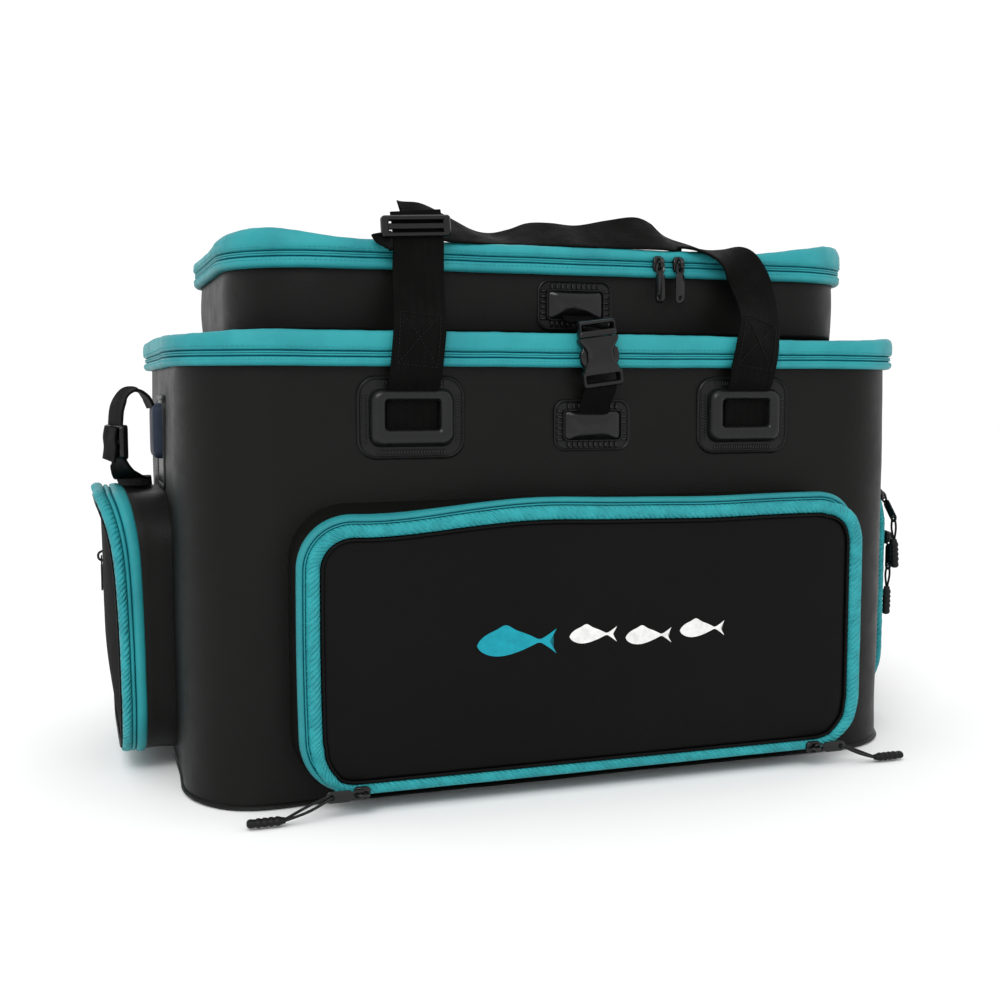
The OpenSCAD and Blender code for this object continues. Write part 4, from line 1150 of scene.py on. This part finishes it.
def build_slider(node, body, origin, turn, tilt=0.0):
    """A zipper slider: a rounded body with a bridge and two cheeks."""
    place = mapper(origin, turn, tilt)
    layers = [(7.6, 10.4, 2.8, 0.2), (9.0, 12.0, 3.4, 0.7), (9.4, 12.4, 3.6, 1.7), (8.6, 11.6, 3.3, 2.5),
              (6.4, 9.2, 2.4, 3.0), (3.0, 5, 1, 3.1)]
    pieces = [slab(node + "_body", layers, place, METAL)]
    arch = place(0, [2.6, 5.0, 7.2, 7.9, 7.2, 5.0, 2.6], [4.2, 4.0, 2.6, 0.0, -2.4, -3.8, -4.0])
    pieces.append(tube(node + "_bridge", arch, 1.05, METAL, 5))
    for side in (-1, 1):
        cheek = place(side * 3.6, [2.2, 3.4, 2.2], [-4.2, 0.0, 4.2])
        pieces.append(tube(f"{node}_cheek{side}", cheek, 0.9, METAL, 4))
    finish_piece(join(node + "_visual", pieces), body, "zip_metal", node)


def build_tab(node, body, origin, turn, tilt=0.0, length=TAB_LEN, twist=0.0):
    """Flat pull tab with a wide eye round the bridge and a small hole below. Returns the hole's two ends."""
    base = mapper(origin, turn, tilt)

    def place(a, out, h):
        a, out, h = np.broadcast_arrays(np.asarray(a, float), np.asarray(out, float), np.asarray(h, float))
        angle = np.radians(twist) * np.clip(-h / 8.0, 0, 1)
        flat_out = out - PIN_OUT
        return base(a * np.cos(angle) - flat_out * np.sin(angle),
                    PIN_OUT + a * np.sin(angle) + flat_out * np.cos(angle), h)

    low, plate_top = -length, -6.6
    outline, opening = (6.6, 8.2, 2.4, 7.0, 8.6, 2.6, -3.5), (3.8, 5.8, 1.4, 3.5, 5.6, 1.2, -3.4)
    layers = []
    for (w0, h0, r0, w, h, r, z), outs in ((outline, (4.6, 4.8, 5.6, 5.8)), (opening, (5.8, 5.6, 4.8, 4.6))):
        sizes = ((w0, h0, r0), (w, h, r), (w, h, r), (w0, h0, r0))
        layers += [(*size, depth, 0, z) for size, depth in zip(sizes, outs)]
    eye = slab(node + "_eye", layers, place, METAL, ring=True)
    mid, tall = (plate_top + low) / 2, plate_top - low
    plate = slab(node + "_plate", [(7.0, tall - 1, 3.2, 4.35, 0, mid), (8.0, tall, 3.8, 4.7, 0, mid),
                                   (8.0, tall, 3.8, 5.7, 0, mid), (7.0, tall - 1, 3.2, 6.05, 0, mid),
                                   (4.0, 4.0, 2.0, 6.05, 0, low + 4.2), (3.2, 3.2, 1.6, 5.7, 0, low + 4.2),
                                   (3.2, 3.2, 1.6, 4.7, 0, low + 4.2), (4.0, 4.0, 2.0, 4.35, 0, low + 4.2)],
                 place, METAL, ring=True)
    finish_piece(join(node + "_visual", [eye, plate]), body, "zip_metal", node)
    return place(0.0, [6.6, 3.8], low + 4.2)


def build_head(pocket, suffix, origin, turn, tilt=0.0, twist=0.0):
    """A slider and its hanging tab, on the bodies that share their names."""
    build_slider(f"{pocket}_slider{suffix}", f"{pocket}_runner{suffix}", origin, turn, tilt)
    return build_tab(f"{pocket}_tab{suffix}", f"{pocket}_pull{suffix}", origin, turn, tilt, twist=twist)


def turned(name, start, axis, profile, material, flatten):
    """A body of revolution from (distance along the axis, radius) pairs, flattened one way."""
    a = np.cross(axis, [0, 0, 1.0] if abs(axis[2]) < 0.9 else [0, 1.0, 0])
    a /= np.linalg.norm(a)
    b = np.cross(axis, a)
    turns = np.linspace(0, 2 * math.pi, 18, endpoint=False)
    rings = [np.array([start + axis * t + r * (a * math.cos(k) + b * math.sin(k) * flatten) for k in turns])
             for t, r in profile]
    return sharpen(make(name, *loft(rings, caps=(True, True)), material), 50)


def build_pull(name, body, hole, grip_top, axis, sway, grip_len=26):
    """A thin cord looped through a tab's hole and held in a ribbed rubber grip."""
    axis = np.array(axis, float) / np.linalg.norm(axis)
    grip_top, sway = np.array(grip_top, float), np.array(sway, float)
    profile = [(0, 1.6), (0.6, 2.6), (3, 3.1)]
    for k in range(4):
        at = 4.5 + k * (grip_len - 9) / 4
        profile += [(at, 3.9), (at + 1.6, 4.0), (at + 2.6, 3.35), (at + 3.4, 3.35)]
    profile += [(grip_len - 2.4, 3.8), (grip_len - 0.8, 3.2), (grip_len, 1.8)]
    grip = turned(name + "_grip", grip_top, axis, profile, RUBBER, 0.8)
    finish_piece(grip, body, "rubber_pull")
    front, back = hole
    knots = [back, back * 0.7 + front * 0.3 + axis * 1.5 + sway * 0.6, (back + grip_top) / 2 + sway,
             grip_top + axis * 1.0 + sway * 0.25, grip_top + axis * 3.0,
             grip_top + axis * 1.0 - sway * 0.25, (front + grip_top) / 2 - sway,
             front * 0.8 + back * 0.2 + axis * 1.5 - sway * 0.5, front, (front + back) / 2 + axis * -0.3]
    path = smooth(knots, 6)
    cord = finish_piece(tube(name + "_cord", path, 1.0, RUBBER, 1), body, "rubber_pull")


for suffix, twist in (("_a", 58), ("_b", -8)):
    low, high = node_box("upper_slider" + suffix)
    origin = ((low[0] + high[0]) / 2, UPPER_FRONT_Y - BAND_PROUD - 0.3, UPPER_SPLIT)
    build_head("upper", suffix, origin, 0, twist=twist)

low, high = node_box("lower_slider")
build_head("lower", "", (SIDE_X + BAND_PROUD + 0.7, (low[1] + high[1]) / 2, LOWER_SPLIT), 90)
side_x, side_reach = SIDE_X + SIDE_OUT + 0.3, SIDE_W / 2 - SLIDER_IN
build_head("left", "", (-side_x, SIDE_Y + side_reach, LEFT_SLIDER_Z), -90)

reach, angle = SIDE_R - SLIDER_IN, math.radians(RIGHT_HIGH_ANGLE)
origin = (side_x, SIDE_Y - SIDE_W / 2 + SIDE_R - reach * math.cos(angle),
          POCKET_Z + POCKET_H - SIDE_R + reach * math.sin(angle))
hole = build_head("right", "_a", origin, 90, RIGHT_HIGH_ANGLE)
grip_at = (hole[0] + hole[1]) / 2 + [0.0, -1.5, -19]
build_pull("right_pull_a", "right_pull_a", hole, grip_at, (0.03, -0.05, -1), (0, 2.2, 0))
hole = build_head("right", "_b", (side_x, SIDE_Y - side_reach, RIGHT_LOW_Z), 90)
grip_at = (hole[0] + hole[1]) / 2 + [0.0, 1.0, -19]
build_pull("right_pull_b", "right_pull_b", hole, grip_at, (0.02, 0.04, -1), (0, 2.0, 0))

for side, tag in ((-1, "left"), (1, "right")):
    origin = (side * FOOT_SLIDER_X, FRONT_Y - FRONT_OUT - 0.5, POCKET_Z + SLIDER_IN)
    build_slider(f"front_slider_{tag}", f"corner_runner_{tag}", origin, 0, side * 90)
    hole = build_tab(f"front_pull_{tag}", f"corner_pull_{tag}", origin, 0, -side * 90, FRONT_TAB_LEN)
    grip_at = (side * (FOOT_SLIDER_X + 53), origin[1] - PIN_OUT, 4.4)
    build_pull(f"front_pull_{tag}", f"corner_pull_{tag}", hole, grip_at, (side, 0, 0), (0, 2.2, 0.8))


# ---------- generic mark on the front flap: four swimming fish ----------

def panel_face(x, z):
    """How far out the front panel's skin lies at a point."""
    panel = bpy.data.objects["front_pocket_panel"]
    start = Vector((x, FRONT_Y - FRONT_OUT - 60, z)) * MM
    hit, where, _, _ = panel.ray_cast(start, Vector((0, 1, 0)))
    return where[1] / MM if hit else FRONT_Y - FRONT_OUT


def build_fish(name, nose_x, z0, length, height, material, arch):
    """One fish outline, laid on the panel 0.25 mm proud."""
    rings = []
    for t in np.linspace(0, 1, 44):
        if t < 0.8:
            half = height / 2 * max(0.14 if t > 0.5 else 0.0, math.sin(math.pi * (t / 0.8) ** 0.72) ** 0.9)
        else:
            half = height / 2 * (0.14 + 0.80 * ((t - 0.8) / 0.2) ** 1.15)
        fin = 0.16 * height * bump(t, 0.36, 0.09)
        face = []
        for v in np.linspace(-1, 1, 9):
            fork = 0.085 * (1 - abs(v)) * max(0, (t - 0.8) / 0.2)
            x = nose_x + length * (t - fork)
            z = z0 + v * (half + (fin if v > 0 else 0)) + arch * math.sin(math.pi * t)
            face.append((x, panel_face(x, z), z))
        face = np.array(face)
        rings.append(np.concatenate([face - [0, 0.25, 0], face[::-1] + [0, 0.4, 0]]))
    fish = sharpen(make(name, *loft(rings, caps=(True, True)), material), 30)
    finish_piece(fish, "front_flap", "foam_panel")


bpy.context.view_layer.update()
build_fish("mark_fish_0", -94, 112.5, 60, 19, PRINT_TURQUOISE, 1.5)
for k in range(3):
    build_fish(f"mark_fish_{k + 1}", -24 + 44 * k, 113 + (1.8, -1.6, 1.0)[k], 37, 12, PRINT, 0.8)


# ---------- floor, light and camera ----------

FLOOR = 40.0                            # half the floor's side in metres
floor_mesh = bpy.data.meshes.new("floor")
corners = [(-FLOOR, -FLOOR, 0), (FLOOR, -FLOOR, 0), (FLOOR, FLOOR, 0), (-FLOOR, FLOOR, 0)]
floor_mesh.from_pydata(corners, [], [(0, 1, 2, 3)])
floor_obj = bpy.data.objects.new("floor", floor_mesh)
bpy.context.scene.collection.objects.link(floor_obj)
floor_mesh.materials.append(material("floor_paint", (0.97, 0.97, 0.97), 0.9, 0.1)[0])

world = bpy.data.worlds.new("studio")
bpy.context.scene.world = world
world.use_nodes = True
world.node_tree.nodes["Background"].inputs["Color"].default_value = (1, 1, 1, 1)
world.node_tree.nodes["Background"].inputs["Strength"].default_value = 1.04

KEY_PLACE, KEY_AIM = Vector((-1.2, -2.2, 2.4)), Vector((0, 0, 0.2))
key = bpy.data.lights.new("key", "AREA")
key.shape = "RECTANGLE"
key.size, key.size_y = 1.6, 1.2
key.energy = 40
key_obj = bpy.data.objects.new("key", key)
bpy.context.scene.collection.objects.link(key_obj)
key_obj.location = KEY_PLACE
key_obj.rotation_euler = (KEY_AIM - KEY_PLACE).to_track_quat("-Z", "Y").to_euler()

camera_data = bpy.data.cameras.new("camera")
camera_data.sensor_width = 36.0
camera_data.lens = 46.2
camera = bpy.data.objects.new("camera", camera_data)
bpy.context.scene.collection.objects.link(camera)
camera.location = (-0.364, -1.057, 0.292)
camera.rotation_euler = (math.radians(85.1), 0, math.radians(-18.7))
bpy.context.scene.camera = camera
bpy.context.scene.view_settings.view_transform = "Standard"
